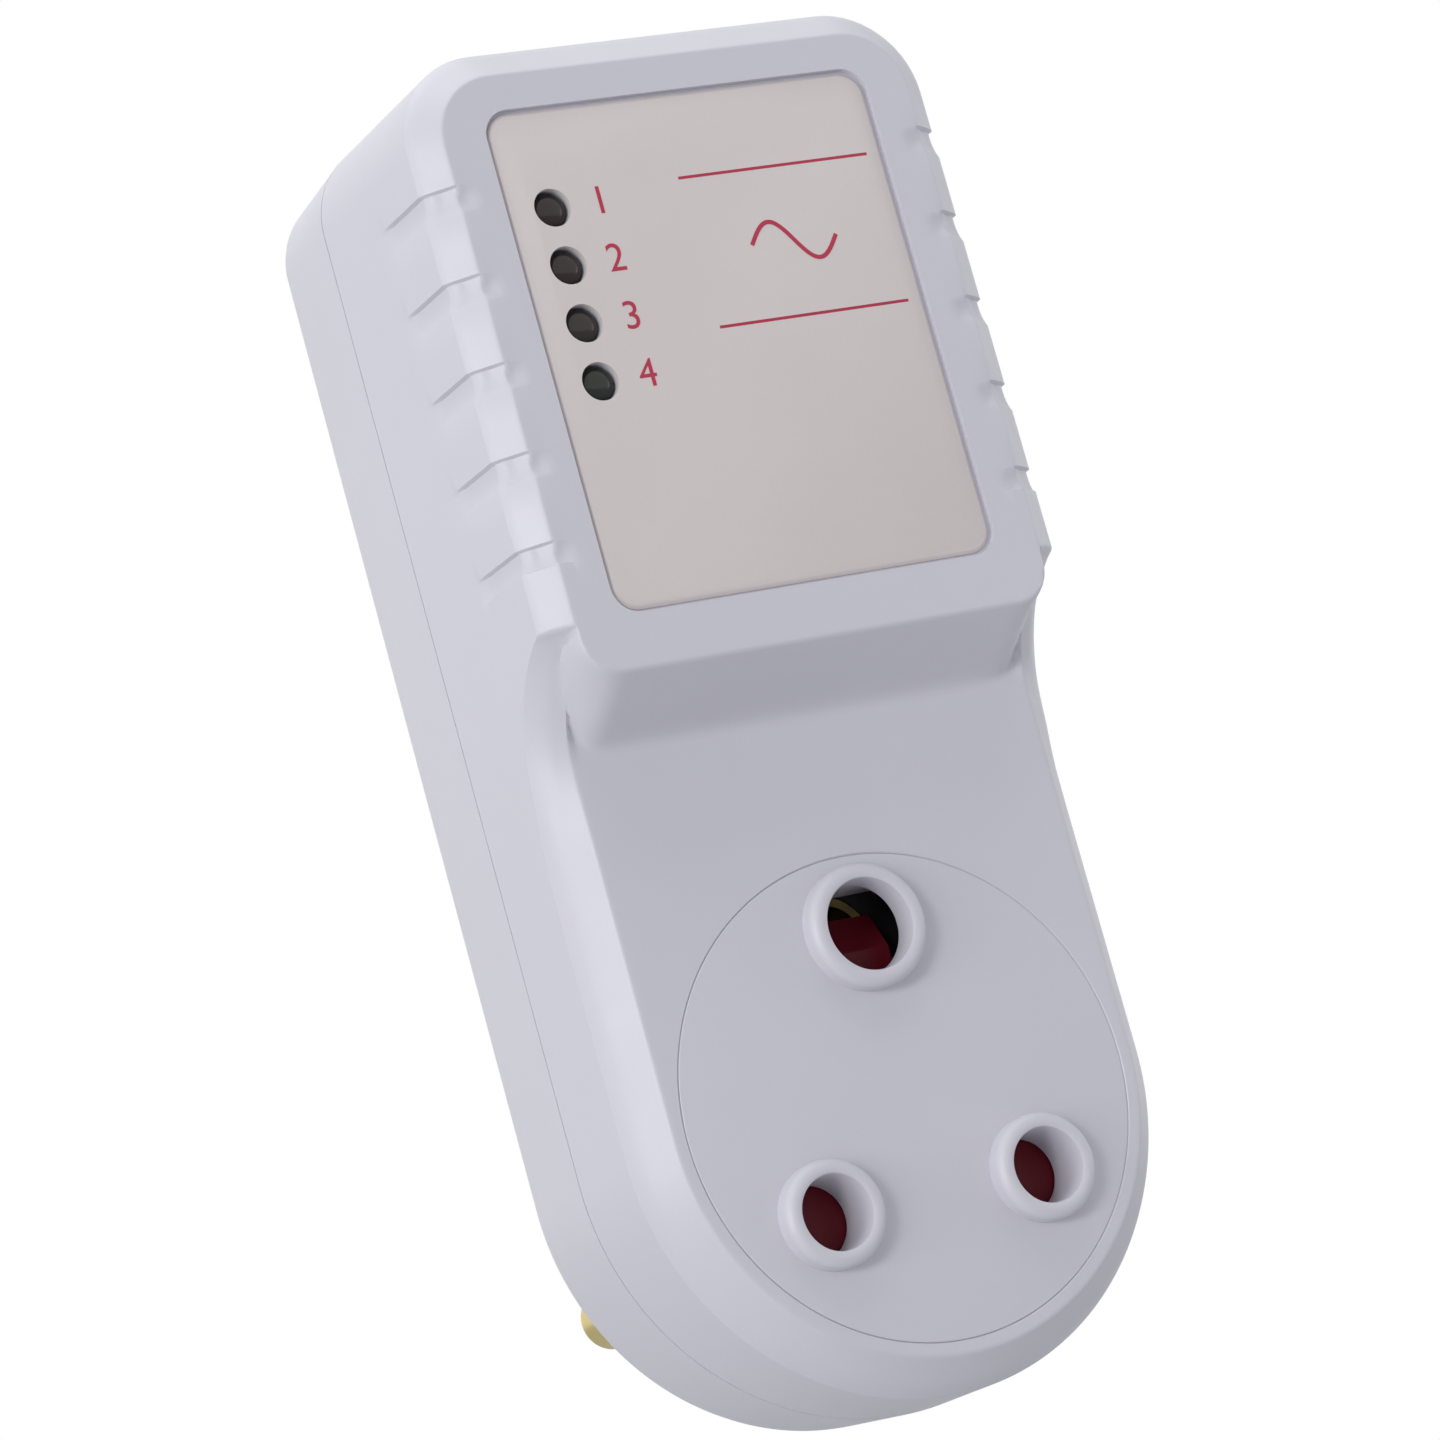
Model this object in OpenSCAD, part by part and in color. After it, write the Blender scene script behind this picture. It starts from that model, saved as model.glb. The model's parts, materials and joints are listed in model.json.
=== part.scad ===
// Plug-in appliance voltage protector for a three round pin 15 A outlet.
// X runs to the right, Z up and Y away from the viewer, towards the wall.
// The origin lies on the wall face, midway between the two line pins. All sizes are in millimetres.

/* [Body] */
// Width of the body
body_w = 62; // [58:0.5:66]
// Height of the top above the line pins
body_top = 126; // [122:0.5:134]
// Height of the round lower end's centre above the line pins
end_centre = 10.5; // [9:0.25:12]
// Radius of the top corners
corner_r = 10; // [8:0.5:12]
// Thickness of the shells
wall = 2.5; // [2:0.1:2.8]
// Depth of the rear shell
rear_depth = 17; // [16:0.5:20]
// Depth of the front shell, from the parting line to the socket face
front_depth = 17; // [17:0.5:20]
// How much each side of the rear shell draws in towards the back
rear_draft = 1; // [0:0.1:1.5]
// Radius of the rear shell's back edge
rear_round = 4; // [3:0.25:5]
// Radius of the edge round the socket face
edge_round = 3; // [2:0.25:3.5]

/* [Head] */
// How far the head stands in front of the socket face
head_depth = 10; // [9:0.5:12]
// Height of the head's lower front edge above the line pins
head_bottom = 58; // [56:0.5:61]
// Drop of the sloping step under the head
step_drop = 5.5; // [4:0.25:6.5]
// Width of the bevel round the head's front
head_bevel = 2.8; // [2:0.1:3.2]
// Radius of the concave blend under the step
step_blend = 3; // [2:0.5:6]

/* [Grip grooves] */
// Number of grooves on each side
grip_count = 5; // [3:1:5]
// Spacing of the grooves
grip_pitch = 9.7; // [9:0.1:10]
// Height of the upper groove's sharp upper edge above the line pins
grip_top = 111.4; // [110:0.1:113]
// Height of one groove
grip_h = 3.5; // [2:0.1:4]
// Depth of one groove
grip_cut = 0.8; // [0.4:0.05:0.9]
// How far a groove runs back past the socket face
grip_run = 3.4; // [2:0.1:5]
// How far a groove runs in from the bevel over the head's front
grip_front = 2.2; // [1.5:0.1:2.6]

/* [Label] */
// Width of the label
label_w = 45.5; // [42:0.5:47]
// Height of the label
label_h = 54.7; // [50:0.1:55]
// Height of the label's lower edge above the line pins
label_bottom = 63.9; // [63.5:0.1:65]
// Thickness of the label
label_t = 0.5; // [0.3:0.05:0.7]
// Depth of the recess that the label lies in
label_recess = 0.8; // [0.7:0.05:1]
// Radius of the label's corners
label_r = 2.8; // [2:0.1:4]

/* [Indicators] */
// Number of indicator lamps
lamp_count = 4; // [3:1:4]
// Spacing of the lamps
lamp_pitch = 6.4; // [6.1:0.1:6.6]
// Distance of the upper lamp below the label's upper edge
lamp_drop = 10.9; // [10.6:0.1:11.6]
// Distance of the lamps from the label's left edge
lamp_inset = 5.25; // [4.75:0.05:6]
// Diameter of a lamp's lens
lamp_d = 3.8; // [3.6:0.1:3.9]
// Gap between a lamp and its hole
lamp_gap = 0.2; // [0.1:0.05:0.25]

/* [Socket] */
// Spacing of the two line pins
pin_spacing = 25.4; // [25:0.05:25.8]
// Height of the earth pin above the line pins
earth_rise = 28.58; // [28.2:0.02:29]
// Diameter of the line holes
line_hole_d = 8; // [7.8:0.1:8.2]
// Diameter of the earth hole
earth_hole_d = 9.8; // [9.6:0.1:10]
// Diameter of the line collars
line_collar_d = 11.5; // [11.2:0.1:12]
// Diameter of the earth collar
earth_collar_d = 13.5; // [13:0.1:14]
// How far the collars stand in front of the socket face
collar_h = 2.5; // [2:0.1:3]
// Length of the guide tubes, from the front of the collars
guide_len = 6.5; // [6.4:0.1:7]
// Width of the rim of the body round the socket insert
insert_rim = 5; // [4.5:0.1:5.5]

/* [Plug] */
// Diameter of the line pins
line_pin_d = 7.06; // [7.0:0.01:7.12]
// Length of the line pins
line_pin_len = 18.62; // [18:0.02:19]
// Diameter of the earth pin
earth_pin_d = 8.71; // [8.65:0.01:8.77]
// Length of the earth pin
earth_pin_len = 28.58; // [28:0.02:29]
// Diameter of the raised plug base
plug_base_d = 51; // [50:0.5:51.5]
// Depth of the raised plug base
plug_base_h = 5; // [4:0.25:6]

/* [Shutter] */
// Travel of the shutter
shutter_travel = 7.9; // [7.5:0.1:8]
// Thickness of the shutter
shutter_t = 3; // [2.6:0.1:3.2]
// Width of the shutter's ramp and stem
shutter_stem_w = 10; // [9:0.25:10.5]

/* [Board] */
// Space between the body's side and the circuit board's edge
board_side = 6; // [5.5:0.1:6.5]
// Height of the circuit board's lower edge above the line pins
board_bottom = 45; // [44:0.5:46]
// Height of the circuit board
board_h = 69.5; // [68:0.5:69.5]
// Thickness of the circuit board
board_t = 1.6; // [1.2:0.1:2]

/* [Relay] */
// Length of the relay
relay_l = 19; // [18:0.25:19.5]
// Width of the relay
relay_w = 15.5; // [14.5:0.25:16]
// Height of the relay above the board
relay_h = 15.3; // [15:0.1:17]
// Air gap between the armature and the core
relay_gap = 0.6; // [0.5:0.05:0.8]

/* [Hidden] */
$fn = 48;
// Sides of the round parts inside a hull
hull_fn = 40;
// Sides of the large round parts
large_fn = 96;
// Turn between two slices of a rounded edge, in degrees
round_turn = 30;

// Overrun of a cut past the face that it leaves
over = 1;
// Gap between pieces that lie in each other
seat_gap = 0.15;
// Depth to which one part of a piece is sunk in another
embed = 0.5;
embed_small = 0.1;
// Running gap round the shutter
slide_gap = 0.3;
// Gap between a contact sleeve and its well
sleeve_gap = 0.1;
// Running gap of a plug pin in its sleeve, on the radius
sleeve_fit = 0.05;

// Depth stations along Y
shell_back = -plug_base_h;
parting = shell_back - rear_depth;
face = parting - front_depth;
head = face - head_depth;
collar_front = face - collar_h;
guide_end = collar_front + guide_len;
front_inside = face + wall;
head_inside = head + wall;
back_inside = shell_back - wall;

// Outline of the shells
half_w = body_w / 2;
body_bottom = end_centre - half_w;
lip_h = 1.5;
lip_t = 0.85;

// Places of the pins
line_x = pin_spacing / 2;
LINE_SIDES = [-1, 1];

// Plug base and pin flanges
base_wall = 2.5;
base_side = 2.4;
base_cavity_d = plug_base_d - 2 * base_side;
base_chamfer = 0.8;
pin_flange_t = 1.6;
pin_root = 0.3;
pin_shoulder = 1;
line_flange_d = line_pin_d + 2 * pin_shoulder;
earth_flange_d = earth_pin_d + 2 * pin_shoulder;
pin_stem_d = 4.8;
pin_tip = 0.8;
stem_short = 1;
pin_hole_gap = 0.05;

// Socket insert
insert_d = body_w - 2 * insert_rim;
insert_lap = 1.5;
insert_flange_d = insert_d + 2 * insert_lap;
tube_out = 0.1;
insert_flange_t = guide_end - tube_out - front_inside;
collar_round = 1;
tube_step = 0.4;
pillar_x = 17;
pillar_z = 24;
pillar_d = 6;
pocket_half_w = 6.5;
pocket_face = 1;
hood_t = 1.5;

// Contact carrier
shutter_front = guide_end + slide_gap;
shutter_back = shutter_front + shutter_t;
carrier_front = shutter_back + slide_gap;
carrier_plate_t = 1.5;
carrier_clear = 2.5;
carrier_d = body_w - 2 * (wall + rear_draft + carrier_clear);
carrier_base_t = 3;
carrier_back = back_inside;
well_wall = 1.6;
rail_w = 2;
rail_bottom = 8;
rail_h = 11;
seat_t = 1.5;
seat_half_w = 3.4;
seat_bottom_gap = 0.5;

// Contacts
sleeve_t = 0.9;
end_plate_t = 1.2;
line_depth_spare = 2.2;
slot_w = 1;
strap_w = 4;
strap_top = 20;
tail_d = 3;
line_tip = collar_front + line_pin_len;
line_sleeve_back = line_tip + line_depth_spare + end_plate_t;
contact_front = carrier_front + sleeve_gap;
contact_back = carrier_back - carrier_base_t;
line_well_d = line_pin_d + 2 * (sleeve_fit + sleeve_t + sleeve_gap);
earth_well_d = earth_pin_d + 2 * (sleeve_fit + sleeve_t + sleeve_gap);
well_neck_d = 6.4;
carrier_screw_grip = 6;

// Shutter
wing_top = 4.3;
wing_bottom = -3.2;
wing_lap = 0.6;
wing_half_w = line_x + line_hole_d / 2 + wing_lap;
ramp_over = 2.4;
ramp_under = 1.6;
ramp_top = earth_rise + ramp_over;
ramp_front_top = earth_rise - ramp_under;
ramp_flat = 0.6;
wing_round = 1.5;
wing_clear = 1;
wing_clear_r = half_w - wall - wing_clear;

// Shutter spring
spring_d = 3.2;
spring_wire_d = 0.5;
spring_r = (spring_d - spring_wire_d) / 2;
spring_turns = 7;
spring_sides = 6;
spring_steps = 12;
spring_seat_z = body_bottom + wall + seat_bottom_gap + seat_t;
spring_l = wing_bottom - spring_seat_z;

// Cover screws and their bosses
screw_inset = 7.5;
screw_low_rise = 27.5;
screw_high_drop = 8;
screw_x = half_w - screw_inset;
screw_low_z = end_centre + screw_low_rise;
screw_high_z = body_top - screw_high_drop;
boss_d = 6.4;
pilot_gap = 0.05;
screw_d = 3;
screw_head_d = 5.6;
screw_head_h = 2.2;
screw_grip = 14;
screw_slot_w = 0.8;
screw_slot_h = 1;
post_gap = 0.1;
screw_gap = 0.2;
screw_spare = 2;
screw_seat_depth = 2.5;
screw_seat = back_inside - screw_seat_depth;
cross_share = 0.6;
COVER_SCREWS = [for (x = [-screw_x, screw_x], z = [screw_low_z, screw_high_z]) [x, z]];

// Board, its posts and its screws
board_w = body_w - 2 * board_side;
board_gap = 0.5;
board_front = front_inside + board_gap;
board_back = board_front + board_t;
board_corner_r = 2;
post_inset = 3;
post_low_rise = 21;
post_high_rise = 67;
post_x = board_w / 2 - post_inset;
post_low_z = board_bottom + post_low_rise;
post_high_z = board_bottom + post_high_rise;
post_d = 4.8;
board_screw_d = 2.2;
board_screw_head_d = 4.2;
board_screw_head_h = 1.4;
board_screw_grip = 6;
BOARD_POSTS = [for (x = [-post_x, post_x], z = [post_low_z, post_high_z]) [x, z]];

// Lamps and their spacer
lamp_x = label_w / 2 - lamp_inset;
lamp_top = label_bottom + label_h - lamp_drop;
lamp_hole_d = lamp_d + 2 * lamp_gap;
lamp_lip = 0.3;
lamp_flange_d = lamp_d + 2 * lamp_lip;
lamp_flange_t = 1;
lamp_sink = 0.6;
lamp_dome_h = 0.8;
lamp_body_l = 5;
lead_d = 0.5;
lead_pitch = 1.28;
spacer_margin = 2.2;
spacer_hole_d = 2.2;
lamp_front = head + lamp_sink;
lamp_seat = lamp_front + lamp_dome_h + lamp_body_l;

// Relay
relay_side = 0.4;
relay_x = post_x - board_screw_head_d / 2 - relay_side - relay_l / 2;
relay_rise = 17;
relay_z = board_bottom + relay_rise;
relay_base_t = 1.5;
relay_case_t = 0.7;
coil_core_d = 3.4;
coil_side = 9.2;
coil_lip = 0.6;
coil_flange_d = relay_l - coil_side;
coil_d = coil_flange_d - 2 * coil_lip;
coil_flange_t = 0.8;
coil_h = 8.4;
yoke_t = 1.2;
yoke_w = 8;
armature_t = 1.2;
armature_gap = 0.1;
armature_short = 7.5;
armature_reach = relay_l - armature_short;
blade_t = 0.3;
blade_w = 4;
blade_short = 4.4;
blade_reach = relay_l - blade_short;
button_d = 1.8;
button_h = 0.6;
contact_gap = 0.95;
coil_offset = 1.2;
yoke_gap = 0.3;
pole_rise = 0.5;

// Parts on the board
varistor_d = 13;
varistor_t = 4.2;
varistor_pitch = 6;
varistor_rise = 34;
varistor_z = board_bottom + varistor_rise;
varistor_side = 3.5;
varistor_x = varistor_side - board_w / 2;
varistor_count = 3;
lead_stand = 1.5;
part_lead_d = 0.8;
mains_cap_w = 17;
mains_cap_t = 14;
mains_cap_h = 8.5;
mains_cap_side = 3;
mains_cap_x = board_w / 2 - mains_cap_side - mains_cap_w / 2;
mains_cap_rise = 56.5;
mains_cap_z = board_bottom + mains_cap_rise;
mains_cap_round = 0.8;
smooth_d = 8;
smooth_h = 12;
smooth_pitch = 10;
smooth_side = 5;
smooth_rise = 34;
smooth_z = board_bottom + smooth_rise;
smooth_count = 2;
smooth_x = board_w / 2 - smooth_side - smooth_pitch;
smooth_rib = 0.4;
bridge_w = 8.2;
bridge_t = 3.2;
bridge_h = 6.4;
bridge_side = 11;
bridge_x = board_w / 2 - bridge_side;
bridge_rise = 48;
bridge_z = board_bottom + bridge_rise;
chip_w = 9.5;
chip_t = 3.3;
chip_h = 6.4;
chip_x = 0;
chip_rise = 64.5;
chip_z = board_bottom + chip_rise;
chip_legs = 4;
chip_leg_pitch = 2.54;
chip_leg_w = 0.5;
chip_leg_t = 0.25;
chip_stand = 0.6;
chip_notch_d = 1.6;
chip_notch_t = 0.4;
resistor_d = 2.3;
resistor_l = 6.3;
resistor_pitch = 3.6;
resistor_side = 10;
resistor_x = resistor_side - board_w / 2;
resistor_rise = 47;
resistor_z = board_bottom + resistor_rise;
resistor_count = 5;
resistor_span = 9.6;
resistor_lead_d = 0.6;
resistor_stand = 0.3;
fuse_d = 4;
fuse_l = 9;
fuse_side = 3;
fuse_rise = 5;
fuse_z = board_bottom + fuse_rise;
fuse_span = 13;

// Wires
wire_d = 2.2;
wire_ball_d = 2.5;
wire_clear = 4;
wire_pad_rise = 3;
wire_drop = 5;
wire_side = 3.3;
wire_pitch = 7;
wire_offset = 1.5;
wire_live_x = screw_x - boss_d / 2 - wire_side;
wire_return_x = wire_live_x - wire_pitch;
wire_neutral_x = -wire_live_x - wire_offset;
fuse_x = wire_neutral_x + fuse_side + fuse_span / 2;
wire_back = back_inside + wire_d;
wire_mid = carrier_back - carrier_base_t - wire_clear;
wire_fore = board_back + wire_clear;
wire_strap_y = line_sleeve_back - end_plate_t / 2;
wire_slot_w = 4;
wire_slot_h = 7;
wire_turn_r = base_cavity_d / 2 - wire_clear;
wire_slot_z = end_centre + sqrt(wire_turn_r * wire_turn_r - line_x * line_x);
wire_slot_low = wire_slot_z - wire_slot_h / 2;
wire_bend_z = board_bottom - wire_drop;
wire_pad_z = board_bottom + wire_pad_rise;

// Extrudes a drawing in X and Z from y towards the viewer
module along(y, depth) translate([0, y, 0]) rotate([90, 0, 0]) linear_extrude(depth) children();

// A round bar along Y, from y towards the viewer
module rod(x, z, y, depth, d) translate([x, y, z]) rotate([90, 0, 0]) cylinder(h = depth, d = d);

// A rectangle in X and Z with round corners
module round_rect(x0, x1, z0, z1, r) {
    translate([x0 + r, z0]) square([x1 - x0 - 2 * r, z1 - z0]);
    translate([x0, z0 + r]) square([x1 - x0, z1 - z0 - 2 * r]);
    for (x = [x0 + r, x1 - r], z = [z0 + r, z1 - r]) translate([x, z]) circle(r = r);
}

// The body's outline, drawn in by inset all round
module outline(inset) {
    w = half_w - inset;
    r = corner_r - inset;
    translate([0, end_centre]) circle(r = w, $fn = large_fn);
    translate([-w, end_centre]) square([2 * w, body_top - inset - r - end_centre]);
    translate([r - w, end_centre]) square([2 * (w - r), body_top - inset - end_centre]);
    for (x = [r - w, w - r]) translate([x, body_top - inset - r]) circle(r = r);
}

// A thin slice of the outline for a hull
slice = 0.01;
module slice_at(y, inset) along(y, slice) outline(inset, $fn = hull_fn);

// The outer form of the front shell, with its head and its rounded edges
module front_form() {
    along(parting, front_depth - edge_round) outline(0);
    hull() {
        for (a = [0:round_turn:90])
            slice_at(face + edge_round * (1 - sin(a)) + slice, edge_round * (1 - cos(a)), $fn = hull_fn);
    }
    head_form();
    step_form();
}

// The head: a bevelled block whose underside slopes back to the socket face
foot_r = 4;
module head_slice(y, inset) along(y, slice) {
    z0 = head_bottom - step_drop * (y - head) / head_depth;
    round_rect(inset - half_w, half_w - inset, z0, z0 + 3 * foot_r, foot_r, $fn = hull_fn);
    round_rect(inset - half_w, half_w - inset, z0 + 2 * foot_r, body_top - inset, corner_r - inset,
        $fn = hull_fn);
}
module head_form() hull() {
    for (a = [0:round_turn:90])
        head_slice(head + head_bevel * (1 - cos(a)) + slice, head_bevel * (1 - sin(a)));
    head_slice(face + slice, 0);
    head_slice(face + edge_round, 0);
}

// The concave blend between the step and the socket face, with its root in the corner
step_root = [face, head_bottom - step_drop];
step_up = [-head_depth, step_drop] / norm([head_depth, step_drop]);
step_down = [0, -1];
step_angle = acos(step_up * step_down);
step_eye = step_root + (step_up + step_down) / norm(step_up + step_down) * step_blend / sin(step_angle / 2);
blend_turn = 180 - step_angle;
blend_steps = 8;
blend_w = half_w - edge_round;
module step_form() translate([-blend_w, 0, 0]) rotate([90, 0, 90]) linear_extrude(2 * blend_w)
    polygon(concat([step_root + [edge_round, 0]], [for (i = [0:blend_steps])
        step_eye + step_blend * [cos(blend_turn * i / blend_steps), sin(blend_turn * i / blend_steps)]]));

// One groove of the grip: a band that follows the bevelled corner
grip_front_x = half_w - head_bevel - grip_front;
module grip_groove(z) translate([0, 0, z - grip_h]) linear_extrude(grip_h) polygon([
    [grip_front_x, head - over], [grip_front_x, head], [half_w - head_bevel, head + grip_cut],
    [half_w - grip_cut, head + head_bevel], [half_w - grip_cut, face + grip_run - 2 * grip_cut],
    [half_w, face + grip_run], [half_w + over, face + grip_run], [half_w + over, head - over]]);

// The hollow of the front shell
module front_hollow() {
    along(parting + over, front_depth + over - wall) outline(wall);
    along(parting, parting - head_inside) round_rect(wall - half_w, half_w - wall,
        head_bottom + wall, body_top - wall, corner_r - wall);
}

// A screw boss that stands on the front wall
module boss(x, z, y0, y1, d, hole_d, hole_depth) difference() {
    rod(x, z, y1, y1 - y0, d);
    rod(x, z, y1 + over, hole_depth + over, hole_d);
}

function boss_root(z) = z > head_bottom + wall ? head_inside - over / 2 : front_inside - over / 2;

module front_cover() color([0.86, 0.86, 0.89]) {
    difference() {
        front_form();
        front_hollow();
        rod(0, end_centre, face + wall + over, wall + 2 * over, insert_d);
        along(head + label_recess, label_recess + over) label_outline(0);
        lamp_holes(head_inside + over, wall + 2 * over);
        for (side = [0, 1], i = [0:grip_count - 1])
            mirror([side, 0, 0]) grip_groove(grip_top - i * grip_pitch);
    }
    for (p = COVER_SCREWS)
        boss(p[0], p[1], boss_root(p[1]), parting, boss_d, screw_d + 2 * pilot_gap,
            screw_grip);
    for (p = BOARD_POSTS)
        boss(p[0], p[1], boss_root(p[1]), board_front, post_d, board_screw_d + 2 * pilot_gap,
            board_screw_grip);
}

module label_outline(gap) round_rect(gap - label_w / 2, label_w / 2 - gap, label_bottom + gap,
    label_bottom + label_h - gap, label_r - gap);

module lamp_holes(y, depth)
    for (i = [0:lamp_count - 1]) rod(-lamp_x, lamp_top - i * lamp_pitch, y, depth, lamp_hole_d);

module label_plate() color([0.77, 0.74, 0.73]) difference() {
    along(head + label_recess, label_t) label_outline(seat_gap);
    lamp_holes(head + label_recess + over, label_t + 2 * over);
}

// The outer form of the rear shell, with its draft and its rounded back edge
module rear_form() {
    hull() {
        slice_at(parting + slice, 0);
        for (a = [0:round_turn:90])
            slice_at(shell_back - rear_round * (1 - sin(a)), rear_draft + rear_round * (1 - cos(a)));
    }
    rod(0, end_centre, -base_chamfer, plug_base_h - base_chamfer + wall, plug_base_d, $fn = large_fn);
    translate([0, 0, end_centre]) rotate([90, 0, 0])
        cylinder(h = base_chamfer, d1 = plug_base_d - 2 * base_chamfer, d2 = plug_base_d, $fn = large_fn);
}

rear_inset = wall + rear_draft;
module rear_cover() color([0.84, 0.84, 0.87]) {
    difference() {
        rear_form();
        along(back_inside, rear_depth) outline(rear_inset);
        rod(0, end_centre, -base_wall, plug_base_h, base_cavity_d);
        for (side = LINE_SIDES) pin_well(side * line_x, 0, line_pin_d, line_flange_d);
        pin_well(0, earth_rise, earth_pin_d, earth_flange_d);
        for (p = COVER_SCREWS) screw_well(p[0], p[1]);
    }
    difference() {
        along(parting + over, lip_h + over) outline(wall + seat_gap);
        along(parting + 2 * over, lip_h + 3 * over) outline(wall + seat_gap + lip_t);
    }
    for (p = COVER_SCREWS) difference() {
        rod(p[0], p[1], back_inside + embed, back_inside - parting - post_gap + embed, boss_d);
        screw_well(p[0], p[1]);
    }
}

// The hole for one plug pin, with a pocket for its flange that is open to the inside
module pin_well(x, z, d, flange_d) {
    rod(x, z, over, base_wall + 2 * over, d + 2 * (pin_root + pin_hole_gap));
    rod(x, z, -base_wall, plug_base_h, flange_d + 2 * pin_hole_gap);
}

// The hole for one cover screw and its head, open at the back
module screw_well(x, z) {
    rod(x, z, shell_back + over, shell_back + over - screw_seat, screw_head_d + 2 * screw_gap);
    rod(x, z, shell_back + over, rear_depth + 2 * over, screw_d + 2 * screw_gap);
}

module socket_insert() color([0.86, 0.86, 0.89]) difference() {
    union() {
        rod(0, end_centre, front_inside, wall, insert_d - 2 * seat_gap, $fn = large_fn);
        rod(0, end_centre, front_inside + insert_flange_t, insert_flange_t, insert_flange_d, $fn = large_fn);
        for (side = LINE_SIDES) guide_tube(side * line_x, 0, line_collar_d);
        guide_tube(0, earth_rise, earth_collar_d);
        for (side = LINE_SIDES) rod(side * pillar_x, pillar_z, carrier_front - post_gap,
            carrier_front - post_gap - front_inside, pillar_d);
        along(shutter_back, shutter_back - front_inside)
            translate([-pocket_half_w, earth_rise + earth_hole_d / 2]) square([2 * pocket_half_w, hood_t]);
    }
    for (side = LINE_SIDES) {
        rod(side * line_x, 0, guide_end + over, guide_len + 2 * over, line_hole_d);
        rod(side * pillar_x, pillar_z, carrier_front + over, carrier_screw_grip + over,
            board_screw_d + 2 * pilot_gap);
    }
    rod(0, earth_rise, guide_end + over, guide_len + 2 * over, earth_hole_d);
    along(guide_end + over, guide_end + over - face - pocket_face)
        translate([-pocket_half_w, earth_rise - earth_hole_d / 2]) square([2 * pocket_half_w, earth_hole_d]);
}

// One collar with its rounded front edge and its guide tube behind the disc
module guide_tube(x, z, d) {
    rod(x, z, guide_end, guide_end - face, d - 2 * tube_step);
    translate([x, front_inside, z]) rotate([90, 0, 0]) rotate_extrude() {
        square([d / 2, front_inside - collar_front - collar_round]);
        square([d / 2 - collar_round, front_inside - collar_front]);
        translate([d / 2 - collar_round, front_inside - collar_front - collar_round])
            circle(r = collar_round);
    }
}

module shutter() color([0.55, 0.1, 0.14]) {
    intersection() {
        along(shutter_back, shutter_t) round_rect(-wing_half_w, wing_half_w, wing_bottom, wing_top,
            wing_round);
        along(shutter_back + over, shutter_t + 2 * over) translate([0, end_centre + shutter_travel])
            circle(r = wing_clear_r, $fn = large_fn);
    }
    along(shutter_back, shutter_t) translate([-shutter_stem_w / 2, wing_top - wing_round])
        square([shutter_stem_w, ramp_front_top - wing_top + wing_round]);
    translate([-shutter_stem_w / 2, 0, 0]) rotate([90, 0, 90]) linear_extrude(shutter_stem_w)
        polygon([[shutter_front, ramp_front_top - over], [shutter_front, ramp_front_top],
            [shutter_back - ramp_flat, ramp_top], [shutter_back, ramp_top],
            [shutter_back, ramp_front_top - over]]);
}

// The helix that lifts the shutter
function helix_point(t) = [spring_r * cos(360 * t), spring_r * sin(360 * t),
    spring_wire_d / 2 + (spring_l - spring_wire_d) * t / spring_turns];
spring_ring_count = spring_turns * spring_steps;
module shutter_spring() color([0.75, 0.75, 0.76])
    translate([0, (shutter_front + shutter_back) / 2, spring_seat_z])
        polyhedron(points = [for (i = [0:spring_ring_count], j = [0:spring_sides - 1])
                let (p = helix_point(i / spring_steps), out = [p[0], p[1], 0] / spring_r,
                    a = 360 * j / spring_sides)
                p + spring_wire_d / 2 * (cos(a) * out + [0, 0, sin(a)])],
            faces = concat([[for (j = [0:spring_sides - 1]) j]],
                [for (i = [0:spring_ring_count - 1], j = [0:spring_sides - 1])
                    let (k = (j + 1) % spring_sides)
                    [i * spring_sides + k, i * spring_sides + j, (i + 1) * spring_sides + j,
                        (i + 1) * spring_sides + k]],
                [[for (j = [spring_sides - 1:-1:0]) spring_ring_count * spring_sides + j]]));

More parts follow.
